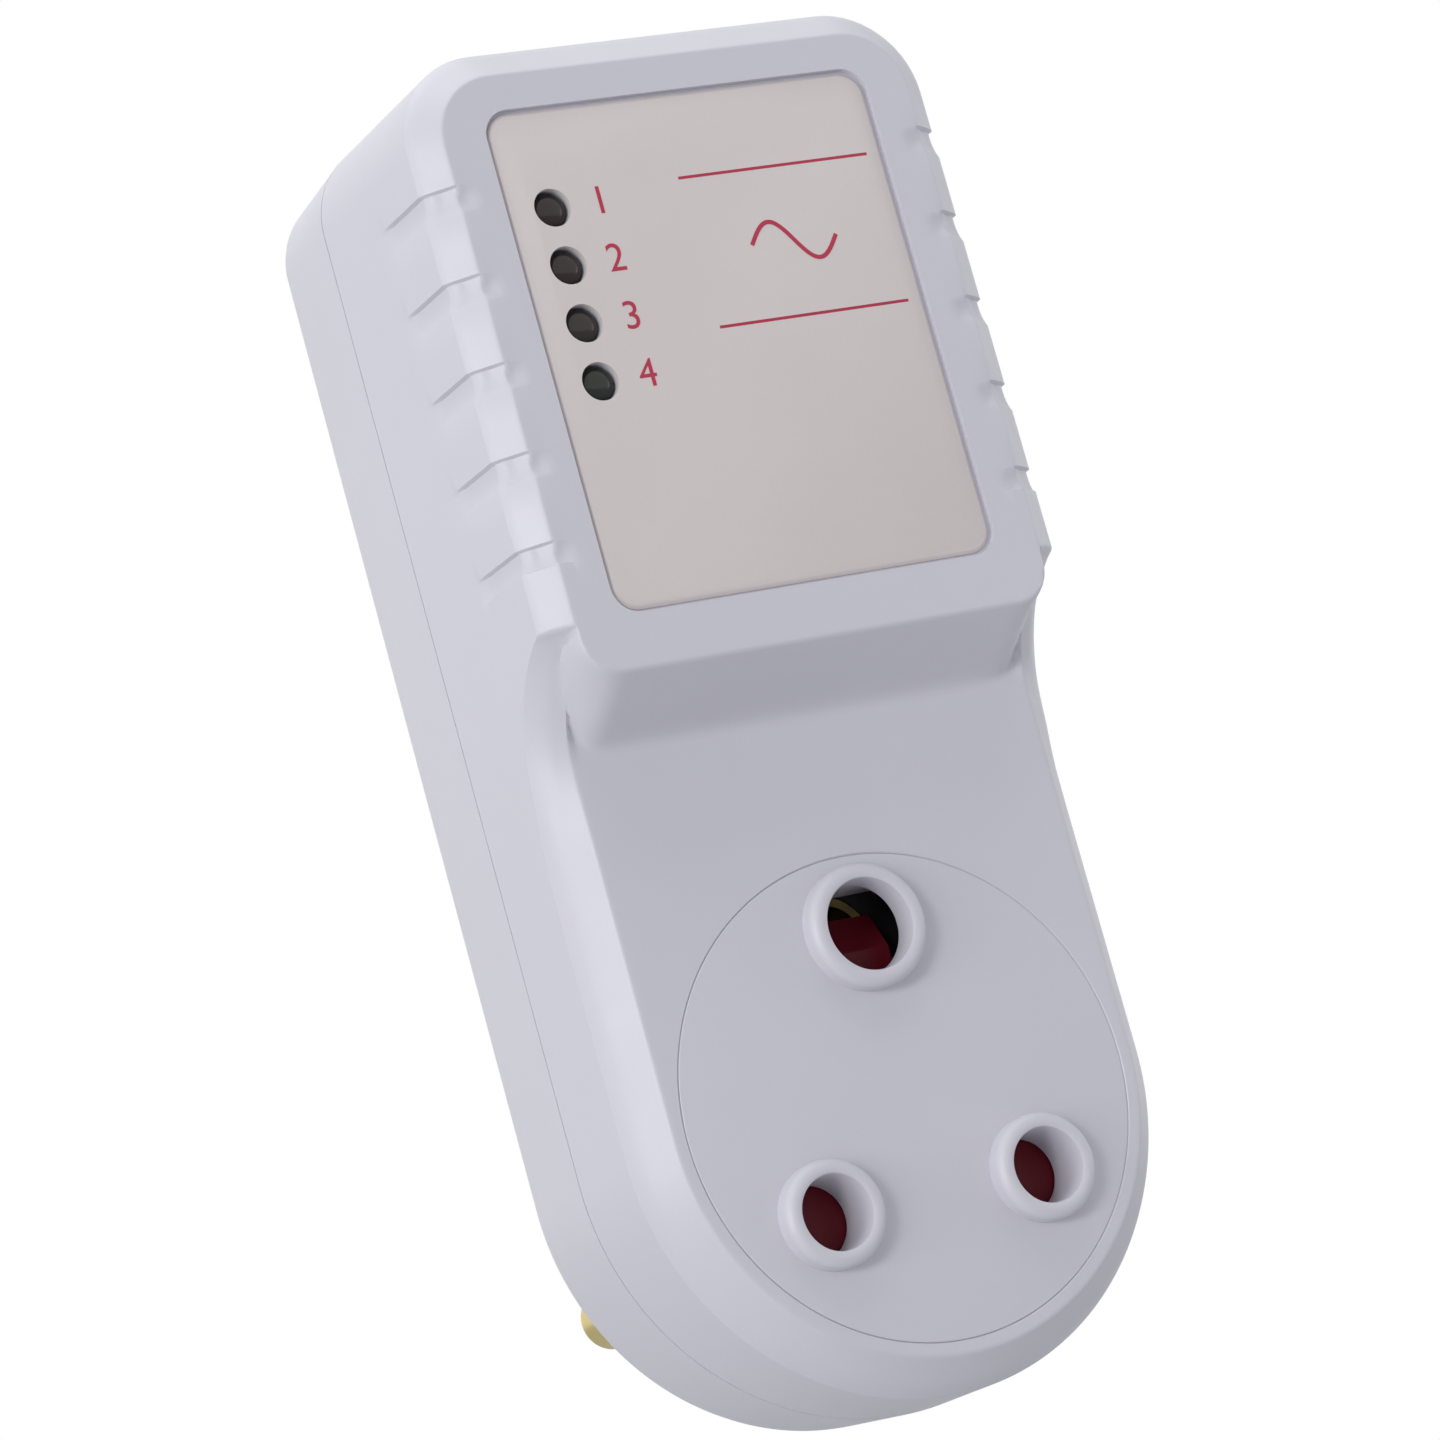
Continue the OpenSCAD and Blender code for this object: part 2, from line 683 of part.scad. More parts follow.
module contact_carrier() color([0.16, 0.16, 0.17]) difference() {
    union() {
        rod(0, end_centre, carrier_front + carrier_plate_t, carrier_plate_t, carrier_d, $fn = large_fn);
        rod(0, end_centre, carrier_back, carrier_base_t, carrier_d, $fn = large_fn);
        for (side = LINE_SIDES)
            rod(side * line_x, 0, carrier_back, carrier_back - carrier_front, line_well_d + 2 * well_wall);
        rod(0, earth_rise, carrier_back, carrier_back - carrier_front, earth_well_d + 2 * well_wall);
        for (side = LINE_SIDES) along(carrier_front + embed, carrier_front - shutter_front + embed)
            translate([side * (shutter_stem_w / 2 + slide_gap + rail_w / 2) - rail_w / 2, rail_bottom])
                square([rail_w, rail_h]);
        along(carrier_front + carrier_plate_t, carrier_plate_t)
            translate([-seat_half_w, spring_seat_z - seat_t]) square([2 * seat_half_w, -spring_seat_z]);
        along(carrier_front + embed, carrier_front - shutter_front + embed)
            translate([-seat_half_w, spring_seat_z - seat_t]) square([2 * seat_half_w, seat_t]);
    }
    for (side = LINE_SIDES) {
        rod(side * line_x, 0, line_sleeve_back + sleeve_gap,
            line_sleeve_back + sleeve_gap - carrier_front + over, line_well_d);
        rod(side * line_x, 0, carrier_back + over, carrier_back - carrier_front, well_neck_d);
        translate([side * line_x - strap_w / 2 - sleeve_gap, line_sleeve_back - end_plate_t - sleeve_gap, 0])
            cube([strap_w + 2 * sleeve_gap, end_plate_t + 2 * sleeve_gap, line_well_d]);
        rod(side * pillar_x, pillar_z, carrier_front + carrier_plate_t + over, carrier_plate_t + 2 * over,
            board_screw_d + 2 * screw_gap);
        along(carrier_back + over, carrier_base_t + 2 * over)
            translate([side * line_x - wire_slot_w / 2, wire_slot_low]) square([wire_slot_w, wire_slot_h]);
    }
    rod(0, earth_rise, contact_back, contact_back - carrier_front + over, earth_well_d);
    rod(0, earth_rise, carrier_back + over, carrier_base_t + 2 * over, pin_stem_d + 2 * sleeve_gap);
}

// A slotted brass sleeve, closed at its back
module sleeve(x, z, back, pin_d) difference() {
    rod(x, z, back, back - contact_front, pin_d + 2 * sleeve_fit + 2 * sleeve_t);
    rod(x, z, back - end_plate_t, back - contact_front + over, pin_d + 2 * sleeve_fit);
    translate([x - slot_w / 2, contact_front - over, z - pin_d])
        cube([slot_w, (back - contact_front) / 2 + over, 2 * pin_d]);
}

// A line contact: its sleeve and the strap that rises from its back
module line_contact(side) {
    sleeve(side * line_x, 0, line_sleeve_back, line_pin_d);
    translate([side * line_x - strap_w / 2, line_sleeve_back - end_plate_t, line_pin_d / 2])
        cube([strap_w, end_plate_t, strap_top - line_pin_d / 2]);
}

module earth_contact() color([0.78, 0.66, 0.32]) sleeve(0, earth_rise, contact_back, earth_pin_d);
module live_contact() color([0.78, 0.66, 0.32]) line_contact(1);
module neutral_contact() color([0.78, 0.66, 0.32]) {
    line_contact(-1);
    rod(-line_x, 0, contact_back, contact_back - line_sleeve_back + embed, tail_d);
}

// A plug pin with its thicker root and its flange in the base, and its stem inside the body
module plug_pin(x, z, d, length, flange_d, stem_end) {
    rod(x, z, length - pin_tip, length - pin_tip, d);
    rod(x, z, 0, base_wall, d + 2 * pin_root);
    translate([x, length, z]) rotate([90, 0, 0]) cylinder(h = pin_tip, d1 = d - 2 * pin_tip, d2 = d);
    rod(x, z, -base_wall, pin_flange_t, flange_d);
    rod(x, z, -base_wall, -base_wall - stem_end, pin_stem_d);
}

module earth_pin() color([0.78, 0.66, 0.32])
    plug_pin(0, earth_rise, earth_pin_d, earth_pin_len, earth_flange_d, contact_back);
module live_pin() color([0.78, 0.66, 0.32])
    plug_pin(line_x, 0, line_pin_d, line_pin_len, line_flange_d, back_inside + stem_short);
module neutral_pin() color([0.78, 0.66, 0.32])
    plug_pin(-line_x, 0, line_pin_d, line_pin_len, line_flange_d, contact_back);

module circuit_board() color([0.1, 0.35, 0.2]) difference() {
    along(board_back, board_t) round_rect(-board_w / 2, board_w / 2, board_bottom,
        board_bottom + board_h, board_corner_r);
    for (p = BOARD_POSTS)
        rod(p[0], p[1], board_back + over, board_t + 2 * over, board_screw_d + 2 * screw_gap);
}

// The relay stands on the board, with its hinge at the yoke's inner edge
relay_floor = board_back + relay_base_t;
coil_x = relay_x - coil_offset;
yoke_x = coil_x - coil_flange_d / 2 - yoke_gap;
pole_y = relay_floor + yoke_t + coil_h;
armature_y = pole_y + relay_gap;
blade_y = armature_y + armature_t;
module relay_block(size_x, size_z, y0, y1)
    along(y1, y1 - y0) translate([relay_x - size_x / 2, relay_z - size_z / 2]) square([size_x, size_z]);

module relay_base() color([0.12, 0.12, 0.13]) relay_block(relay_l - 2 * (relay_case_t + seat_gap),
    relay_w - 2 * (relay_case_t + seat_gap), board_back, relay_floor);

module relay_case() color([0.13, 0.3, 0.6]) difference() {
    relay_block(relay_l, relay_w, board_back, board_back + relay_h);
    relay_block(relay_l - 2 * relay_case_t, relay_w - 2 * relay_case_t, board_back - over,
        board_back + relay_h - relay_case_t);
}

module relay_coil() color([0.72, 0.35, 0.15]) {
    rod(coil_x, relay_z, pole_y - coil_flange_t, coil_h - 2 * coil_flange_t, coil_d);
    rod(coil_x, relay_z, pole_y - pole_rise, coil_flange_t, coil_flange_d);
    rod(coil_x, relay_z, pole_y - coil_h + coil_flange_t, coil_flange_t, coil_flange_d);
    rod(coil_x, relay_z, pole_y, coil_h, coil_core_d);
}

module relay_yoke() color([0.6, 0.61, 0.62]) {
    along(relay_floor + yoke_t, yoke_t) translate([yoke_x - yoke_t, relay_z - yoke_w / 2])
        square([coil_x + coil_core_d - yoke_x + yoke_t, yoke_w]);
    along(armature_y - armature_gap, armature_y - armature_gap - relay_floor)
        translate([yoke_x - yoke_t, relay_z - yoke_w / 2]) square([yoke_t, yoke_w]);
}

module relay_armature() color([0.66, 0.67, 0.68]) {
    along(blade_y, armature_t) translate([yoke_x - yoke_t, relay_z - yoke_w / 2])
        square([armature_reach, yoke_w]);
    along(blade_y + blade_t, blade_t) translate([yoke_x + yoke_t, relay_z - blade_w / 2])
        square([blade_reach - yoke_t, blade_w]);
    rod(yoke_x + blade_reach - button_d, relay_z, blade_y, button_h, button_d);
}

// The fixed contact: a strip on the relay's base that carries a button under the blade
fixed_y = blade_y - button_h - contact_gap - button_h;
module relay_contacts() color([0.78, 0.66, 0.32]) {
    rod(yoke_x + blade_reach - button_d, relay_z, fixed_y + button_h, button_h, button_d);
    along(fixed_y, blade_t) translate([yoke_x + blade_reach - 1.5 * button_d, relay_z - blade_w / 2])
        square([1.5 * button_d, blade_w]);
    along(fixed_y, fixed_y - relay_floor)
        translate([yoke_x + blade_reach - blade_t, relay_z - blade_w / 2]) square([blade_t, blade_w]);
}

// A lead from y down to the board
module board_lead(x, z, y, d) rod(x, z, y, y - board_back, d);

module varistors() color([0.15, 0.3, 0.62]) for (i = [0:varistor_count - 1])
    translate([varistor_x + i * varistor_pitch, 0, varistor_z]) {
        translate([-varistor_t / 2, board_back + lead_stand + varistor_d / 2, 0]) rotate([0, 90, 0])
            cylinder(h = varistor_t, d = varistor_d);
        for (side = LINE_SIDES)
            board_lead(0, side * varistor_d / 4, board_back + lead_stand + varistor_d / 2, part_lead_d);
    }

module mains_capacitor() color([0.85, 0.72, 0.2])
    along(board_back + mains_cap_t, mains_cap_t) round_rect(mains_cap_x - mains_cap_w / 2,
        mains_cap_x + mains_cap_w / 2, mains_cap_z - mains_cap_h / 2, mains_cap_z + mains_cap_h / 2,
        mains_cap_round);

module smoothing_capacitors() color([0.12, 0.13, 0.25]) for (i = [0:smooth_count - 1])
    translate([smooth_x + i * smooth_pitch, board_back, smooth_z]) rotate([-90, 0, 0])
        rotate_extrude() difference() {
            square([smooth_d / 2, smooth_h]);
            translate([smooth_d / 2, 2 * smooth_rib]) circle(r = smooth_rib);
        }

// A flat-sided part that stands on the board
module board_box(x, z, w, t, h, stand)
    along(board_back + stand + t, t) translate([x - w / 2, z - h / 2]) square([w, h]);

module bridge_rectifier() color([0.1, 0.1, 0.11]) {
    board_box(bridge_x, bridge_z, bridge_w, bridge_t, bridge_h, lead_stand);
    for (x = [-1, 1], z = [-1, 1]) board_lead(bridge_x + x * bridge_w / 3, bridge_z + z * bridge_h / 3,
        board_back + lead_stand + bridge_t / 2, part_lead_d);
}

module microcontroller() color([0.1, 0.1, 0.11]) {
    difference() {
        board_box(chip_x, chip_z, chip_w, chip_t, chip_h, chip_stand);
        rod(chip_x - chip_w / 2, chip_z, board_back + chip_stand + chip_t + over, over + chip_notch_t,
            chip_notch_d);
    }
    for (i = [0:chip_legs - 1], side = LINE_SIDES)
        translate([chip_x + (i - (chip_legs - 1) / 2) * chip_leg_pitch - chip_leg_w / 2, board_back,
            chip_z + side * (chip_h / 2 + chip_leg_t / 2 - embed_small) - chip_leg_t / 2])
            cube([chip_leg_w, chip_stand + chip_t / 2, chip_leg_t]);
}

module resistors() color([0.8, 0.68, 0.5]) for (i = [0:resistor_count - 1])
    translate([resistor_x, board_back + resistor_stand + resistor_d / 2, resistor_z + i * resistor_pitch])
        axial_part(resistor_d, resistor_l, resistor_span, resistor_lead_d, resistor_stand + resistor_d / 2);

// A cylinder that lies along X, with a lead at each end that bends down to the board
module axial_part(d, length, span, lead_d, rise) {
    translate([-length / 2, 0, 0]) rotate([0, 90, 0]) cylinder(h = length, d = d);
    translate([-span / 2, 0, 0]) rotate([0, 90, 0]) cylinder(h = span, d = lead_d);
    for (side = LINE_SIDES) translate([side * span / 2, 0, 0]) {
        sphere(d = lead_d);
        rotate([90, 0, 0]) cylinder(h = rise, d = lead_d);
    }
}

module thermal_fuse() color([0.75, 0.76, 0.78])
    translate([fuse_x, board_back + resistor_stand + fuse_d / 2, fuse_z])
        axial_part(fuse_d, fuse_l, fuse_span, part_lead_d, resistor_stand + fuse_d / 2);

module indicator(i) {
    z = lamp_top - i * lamp_pitch;
    translate([-lamp_x, lamp_front + lamp_dome_h, z]) scale([1, 2 * lamp_dome_h / lamp_d, 1])
        sphere(d = lamp_d);
    rod(-lamp_x, z, lamp_seat, lamp_body_l, lamp_d);
    rod(-lamp_x, z, lamp_seat, lamp_flange_t, lamp_flange_d);
    for (side = LINE_SIDES) rod(-lamp_x, z + side * lead_pitch / 2, board_front,
        board_front - lamp_seat + embed, lead_d);
}

module indicator_1() color([0.7, 0.2, 0.2]) indicator(0);
module indicator_2() color([0.7, 0.2, 0.2]) if (lamp_count > 1) indicator(1);
module indicator_3() color([0.8, 0.6, 0.2]) if (lamp_count > 2) indicator(2);
module indicator_4() color([0.3, 0.6, 0.3]) if (lamp_count > 3) indicator(3);

module lamp_spacer() color([0.14, 0.14, 0.15]) difference() {
    along(board_front, board_front - lamp_seat) round_rect(-lamp_x - spacer_margin,
        spacer_margin - lamp_x, lamp_top - (lamp_count - 1) * lamp_pitch - spacer_margin,
        lamp_top + spacer_margin, spacer_margin / 2);
    for (i = [0:lamp_count - 1]) rod(-lamp_x, lamp_top - i * lamp_pitch, board_front + over,
        board_front - lamp_seat + 2 * over, spacer_hole_d);
}

// A round wire along straight runs, with a slightly larger ball at each bend
module wire(points) {
    for (i = [0:len(points) - 2]) {
        run = points[i + 1] - points[i];
        translate(points[i]) rotate([0, acos(run[2] / norm(run)), atan2(run[1], run[0])])
            cylinder(h = norm(run), d = wire_d);
    }
    for (i = [1:len(points) - 2]) translate(points[i]) sphere(d = wire_ball_d);
}

module live_feed_wire() color([0.5, 0.3, 0.2]) wire([
    [line_x, wire_back, pin_stem_d / 2 + sleeve_gap], [line_x, wire_back, wire_slot_z],
    [line_x, wire_mid, wire_slot_z], [wire_live_x, wire_mid, wire_bend_z],
    [wire_live_x, wire_fore, wire_pad_z], [wire_live_x, board_back, wire_pad_z]]);

// A wire that rises from the strap of a line contact and runs to the board
module strap_wire(x, pad_x) wire([[x, wire_strap_y, strap_top],
    [x, wire_strap_y, wire_bend_z - wire_clear], [pad_x, wire_fore, wire_pad_z],
    [pad_x, board_back, wire_pad_z]]);

module live_return_wire() color([0.5, 0.3, 0.2]) strap_wire(line_x, wire_return_x);
module neutral_tap_wire() color([0.2, 0.3, 0.55]) strap_wire(-line_x, wire_neutral_x);

// A pan head screw that points towards the viewer, with a cross recess in its head
module pan_screw(x, z, seat, length, d, head_d, head_h) {
    rod(x, z, seat + embed_small, length + embed_small, d);
    difference() {
        rod(x, z, seat + head_h, head_h, head_d);
        for (turn = [0, 90]) translate([x, seat + head_h, z]) rotate([0, turn, 0])
            cube([head_d * cross_share, 2 * screw_slot_h, screw_slot_w], center = true);
    }
}

module cover_screws() color([0.7, 0.71, 0.72]) for (p = COVER_SCREWS)
    pan_screw(p[0], p[1], screw_seat, screw_seat - parting + screw_grip - screw_spare, screw_d,
        screw_head_d, screw_head_h);

module board_screws() color([0.7, 0.71, 0.72]) for (p = BOARD_POSTS)
    pan_screw(p[0], p[1], board_back, board_t + board_screw_grip - screw_spare, board_screw_d,
        board_screw_head_d, board_screw_head_h);

module carrier_screws() color([0.7, 0.71, 0.72]) for (side = LINE_SIDES)
    pan_screw(side * pillar_x, pillar_z, carrier_front + carrier_plate_t,
        carrier_plate_t + carrier_screw_grip - screw_spare, board_screw_d, board_screw_head_d,
        board_screw_head_h);

front_cover();
rear_cover();
label_plate();
socket_insert();
shutter();
shutter_spring();
contact_carrier();
earth_contact();
live_contact();
neutral_contact();
earth_pin();
live_pin();
neutral_pin();
circuit_board();
relay_base();
relay_coil();
relay_yoke();
relay_armature();
relay_contacts();
relay_case();
varistors();
mains_capacitor();
smoothing_capacitors();
bridge_rectifier();
microcontroller();
resistors();
thermal_fuse();
indicator_1();
indicator_2();
indicator_3();
indicator_4();
lamp_spacer();
live_feed_wire();
live_return_wire();
neutral_tap_wire();
cover_screws();
board_screws();
carrier_screws();
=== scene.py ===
# %% [markdown]
# A plug-in voltage protector, dressed in Blender
#
# The real object is a tall white box that plugs into a wall outlet and takes an appliance's plug in front.
# Its solid parts come ready from the CAD frame. This lesson gives the shells their soft edges, sloping step
# and finger grooves, turns the socket and the pins on a virtual lathe, and gives every part a finish.

# %% Load the frame
import json
import math

import bmesh
import bpy
from mathutils import Matrix, Vector


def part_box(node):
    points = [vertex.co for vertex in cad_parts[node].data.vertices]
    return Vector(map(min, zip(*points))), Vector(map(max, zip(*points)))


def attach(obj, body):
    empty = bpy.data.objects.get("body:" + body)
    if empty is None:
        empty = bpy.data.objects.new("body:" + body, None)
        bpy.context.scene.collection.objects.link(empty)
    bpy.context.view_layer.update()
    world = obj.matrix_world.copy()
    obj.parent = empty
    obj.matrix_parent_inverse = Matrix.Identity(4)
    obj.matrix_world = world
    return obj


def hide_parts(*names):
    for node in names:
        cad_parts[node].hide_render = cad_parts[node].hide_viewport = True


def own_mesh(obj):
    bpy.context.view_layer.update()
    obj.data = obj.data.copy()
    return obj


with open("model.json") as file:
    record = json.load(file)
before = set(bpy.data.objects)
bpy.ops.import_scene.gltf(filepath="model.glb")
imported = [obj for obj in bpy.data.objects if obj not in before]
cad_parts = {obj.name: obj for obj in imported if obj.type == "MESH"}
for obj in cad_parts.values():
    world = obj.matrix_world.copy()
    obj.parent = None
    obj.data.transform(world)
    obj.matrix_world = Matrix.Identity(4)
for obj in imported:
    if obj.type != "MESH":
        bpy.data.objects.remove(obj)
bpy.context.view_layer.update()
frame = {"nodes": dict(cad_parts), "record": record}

# %% [markdown]
# The CAD model is in metres, but the real part is drawn in millimetres. All the making below thinks in
# millimetres, and one factor turns a finished mesh into metres. The main depths come from the boxes of the
# CAD parts, so that a piece which stands for a CAD part has the same place and reach. LINE_X and EARTH_Z
# place the three round pins, and a tool that cuts stands OVER past the surface it opens.

# %% Main sizes in millimetres
MM = 0.001


def box_mm(node):
    low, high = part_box(node)
    return low / MM, high / MM


front_low, front_high = box_mm("front_cover")
insert_low, insert_high = box_mm("socket_insert")
HALF_W = front_high.x
BOTTOM = front_low.z
TOP = front_high.z
HEAD = front_low.y
PARTING = front_high.y
HEAD_RISE = 10
FACE = HEAD + HEAD_RISE
LINE_HALF = 0.08
LINE_DEPTH = 0.25
END_Z = BOTTOM + HALF_W
CORNER = 10
SHELL_BACK = -5
WALL = 2.5
LINE_X = 12.7
EARTH_Z = 28.58
SCREW_X = 23.5
SCREW_HEIGHTS = (38, 118)
BOSS_D = 6.4
TINY = 1e-6
OVER = 1
print("half width", round(HALF_W, 2), "from", round(BOTTOM, 2), "to", round(TOP, 2))

# %% [markdown]
# The photograph was taken from the lower left with the camera turned on its own axis. A camera is three
# unit vectors and a place: what is right in the picture, what is up in it and where it looks. Written as
# the columns of a matrix they turn the camera straight into its pose, with no angles to guess.

# %% Camera at the photograph's viewing angle
CAMERA_AT = (-0.29276, -0.57092, -0.05283)
LENS_MM = 146.63
FILM_MM = 36
scene = bpy.context.scene


def add_object(name, data):
    """Puts new data into the scene as an object."""
    thing = bpy.data.objects.new(name, data)
    scene.collection.objects.link(thing)
    return thing


look = Vector((0.463, 0.8693, 0.1731)).normalized()
picture_right = Vector((0.8724, -0.4123, -0.2628))
picture_right = (picture_right - picture_right.dot(look) * look).normalized()
picture_up = picture_right.cross(look)
camera_data = bpy.data.cameras.new("photo_camera")
camera_data.lens = LENS_MM
camera_data.sensor_width = FILM_MM
camera_data.clip_start = 0.01
camera = add_object("photo_camera", camera_data)
turn = Matrix((picture_right, picture_up, -look)).transposed().to_4x4()
camera.matrix_world = Matrix.Translation(CAMERA_AT) @ turn
scene.camera = camera
print("camera stands at", [round(v, 4) for v in camera.matrix_world.translation])

# %% [markdown]
# A mesh is a list of points and a list of faces that name them. The helper takes millimetres, writes
# metres, welds doubled points and turns every face outwards. Edges that fold by more than a set angle are
# marked sharp, and the rest are shaded smooth, so a rounded edge looks round and a cut edge stays crisp.

# %% From points to a finished mesh
SHARP = math.radians(32)
WELD = 2e-7
SLIVER = 1e-6


def finish_mesh(mesh, sharp=SHARP):
    work = bmesh.new()
    work.from_mesh(mesh)
    bmesh.ops.remove_doubles(work, verts=work.verts, dist=WELD)
    bmesh.ops.recalc_face_normals(work, faces=work.faces)
    work.to_mesh(mesh)
    work.free()
    mesh.shade_smooth()
    mesh.set_sharp_from_angle(angle=sharp)


def make_piece(name, points, faces, sharp=SHARP):
    mesh = bpy.data.meshes.new(name)
    mesh.from_pydata([(x * MM, y * MM, z * MM) for x, y, z in points], [], faces)
    finish_mesh(mesh, sharp)
    return add_object(name, mesh)


def report(piece):
    print(piece.name, "has", len(piece.data.vertices), "points and", len(piece.data.polygons), "faces")


# %% [markdown]
# Moulded parts are full of round holes and bosses, and each of them is a profile turned about an axis that
# runs front to back. The lathe below spins a list of radius and depth pairs. Outlines stacked along the depth
# make the other forms, and a prism is the simplest of them. A Boolean joins a form to a shell or cuts it out.
# Its result is baked at once, so that no modifier is left behind, and cleared of slivers, which would shade
# as dark cracks.

# %% Lathe, stack, prism and Boolean
def turned(name, profile, x, z, sides=96, sharp=SHARP):
    """Spins (radius, y) pairs about an axis along Y through x, z. The ends lie on the axis."""
    points = []
    rings = []
    for radius, y in profile:
        if radius < TINY:
            rings.append([len(points)])
            points.append((x, y, z))
        else:
            rings.append([len(points) + i for i in range(sides)])
            for i in range(sides):
                angle = math.tau * i / sides
                points.append((x + radius * math.cos(angle), y, z + radius * math.sin(angle)))
    faces = []
    for a, b in zip(rings, rings[1:]):
        for i in range(sides):
            j = (i + 1) % sides
            corners = [a[i % len(a)], a[j % len(a)], b[j % len(b)], b[i % len(b)]]
            faces.append(list(dict.fromkeys(corners)))
    return make_piece(name, points, faces, sharp)


def stacked(name, layers):
    """Joins outlines of (x, z) pairs, all with the same number of points. A layer is a y and its outline."""
    n = len(layers[0][1])
    points = [(x, y, z) for y, outline in layers for x, z in outline]
    faces = []
    for first in range(0, len(points) - n, n):
        for i in range(n):
            j = (i + 1) % n
            faces.append([first + i, first + j, first + n + j, first + n + i])
    return make_piece(name, points, faces + [list(range(n)), list(range(len(points) - n, len(points)))])


def prism(name, outline, y0, y1):
    """Pushes a flat outline of (x, z) pairs from y0 to y1."""
    return stacked(name, [(y0, outline), (y1, outline)])


def evaluated_mesh(thing):
    """The mesh that a piece with modifiers, or a line of type, comes to."""
    bpy.context.view_layer.update()
    return bpy.data.meshes.new_from_object(thing.evaluated_get(bpy.context.evaluated_depsgraph_get()))


def bake(piece):
    """Turns a piece with live modifiers into a plain mesh."""
    mesh = evaluated_mesh(piece)
    piece.modifiers.clear()
    piece.data = mesh


def combine(piece, tool, operation):
    modifier = piece.modifiers.new("combine", "BOOLEAN")
    modifier.operation = operation
    modifier.solver = "EXACT"
    modifier.object = tool
    bake(piece)
    bpy.data.objects.remove(tool)
    work = bmesh.new()
    work.from_mesh(piece.data)
    bmesh.ops.remove_doubles(work, verts=work.verts, dist=SLIVER)
    bmesh.ops.dissolve_degenerate(work, edges=work.edges, dist=SLIVER)
    work.to_mesh(piece.data)
    work.free()
    piece.data.shade_smooth()
    piece.data.set_sharp_from_angle(angle=SHARP)


def cut(piece, tool):
    combine(piece, tool, "DIFFERENCE")


def join(piece, tool):
    combine(piece, tool, "UNION")


def rod(name, x, z, y0, y1, diameter, sides=64):
    r = diameter / 2
    return turned(name, [(0, y0), (r, y0), (r, y1), (0, y1)], x, z, sides)


def quarter(steps):
    """Angles in equal steps from 0 to a right angle."""
    return [math.pi / 2 * i / steps for i in range(steps + 1)]


def soft_end(radius, y, corner, towards):
    """Profile points of a rounded rim: from the flat end at y round to the wall, inwards along towards."""
    return [(radius - corner * (1 - math.sin(a)), y + towards * corner * (1 - math.cos(a)))
            for a in quarter(5)]


# %% [markdown]
# Seen from the front the body is a round lower end of 31 mm radius, straight sides and two small top
# corners. The same outline is needed again and again, drawn in by some millimetres, so it is one function.
# Points along the straight sides are named by height, because the step and the grooves need their own rows.

# %% The body's outline
ARC_STEPS = 48
CORNER_STEPS = 14
TOP_STEPS = 8


def outline_points(inset, side_heights=()):
    """Points (x, z) round the body, anticlockwise from the middle of the bottom."""
    w = HALF_W - inset
    r = CORNER - inset
    corner_z = TOP - CORNER
    half = []
    for angle in quarter(ARC_STEPS):
        half.append((w * math.cos(angle - math.pi / 2), END_Z + w * math.sin(angle - math.pi / 2)))
    half += [(w, z) for z in side_heights]
    for angle in quarter(CORNER_STEPS):
        half.append((HALF_W - CORNER + r * math.cos(angle), corner_z + r * math.sin(angle)))
    half += [((HALF_W - CORNER) * (1 - i / TOP_STEPS), TOP - inset) for i in range(1, TOP_STEPS)]
    mirrored = [(-x, z) for x, z in reversed(half[1:])]
    return half + [(0, TOP - inset)] + mirrored


def rounded_rectangle(x0, x1, z0, z1, r, steps=10):
    points = []
    centres = ((x1 - r, z0 + r), (x1 - r, z1 - r), (x0 + r, z1 - r), (x0 + r, z0 + r))
    for (cx, cz), start in zip(centres, (-90, 0, 90, 180)):
        for i in range(steps + 1):
            angle = math.radians(start + 90 * i / steps)
            points.append((cx + r * math.cos(angle), cz + r * math.sin(angle)))
    return points


print("outline of", len(outline_points(0)), "points")

# %% [markdown]
# The front shell is one skin whose depth follows a rule, so it is made as a height field. Two forms meet in
# it, and the nearer one wins: the head's block, with a slope under it that grows steep round its lower
# corners, and the socket face with its chamfered rim. Beside the slope the rim rises in a long hollow sweep,
# and the head's bevel ends there in a short ramp.

# %% Height field of the front skin
BEVEL = 3.2
BEVEL_SLOPE = 0.82
RIM = 3.5
RIM_DEPTH = 4.2
RIM_RISE = 11.8
HEAD_EDGE = 57.8
FOOT_X = 23.9
FOOT_R = 4.0
FOOT_Z = HEAD_EDGE + FOOT_R
SLOPE = 1.85
STEEP = 7
SWEEP = 7.1
STRIP_END = 63.9
STRIP_FADE = 0.9
BEND = 3
CREASE_START = 50.5
CREASE_CURVE = 0.06
EDGE_EASE = 0.15
INNER_EDGE = 6


def smooth(low, high, value):
    t = min(1, max(0, (value - low) / (high - low)))
    return t * t * (3 - 2 * t)


def eased(t, radius=0.25):
    """t where it is positive and 0 elsewhere, with the kink at 0 rounded off."""
    if t <= -radius:
        return 0
    return t if t >= radius else (t + radius) ** 2 / (4 * radius)


def foot(x):
    """Height of the head's lower front edge at x: flat in the middle, rounded to the sides."""
    reach = min(max(abs(x) - FOOT_X, 0), FOOT_R)
    return FOOT_Z - math.sqrt(FOOT_R ** 2 - reach ** 2)


def block_y(x, z):
    """Depth of the head's block: flat in front, sloping below and steep round its lower corners."""
    across = max(0, abs(x) - FOOT_X)
    below = max(0, FOOT_Z - z)
    away = max(0.01, math.hypot(across, below))
    down = (below / away) ** 2
    return HEAD + (SLOPE * down + STEEP * (1 - down)) * eased(away - FOOT_R)


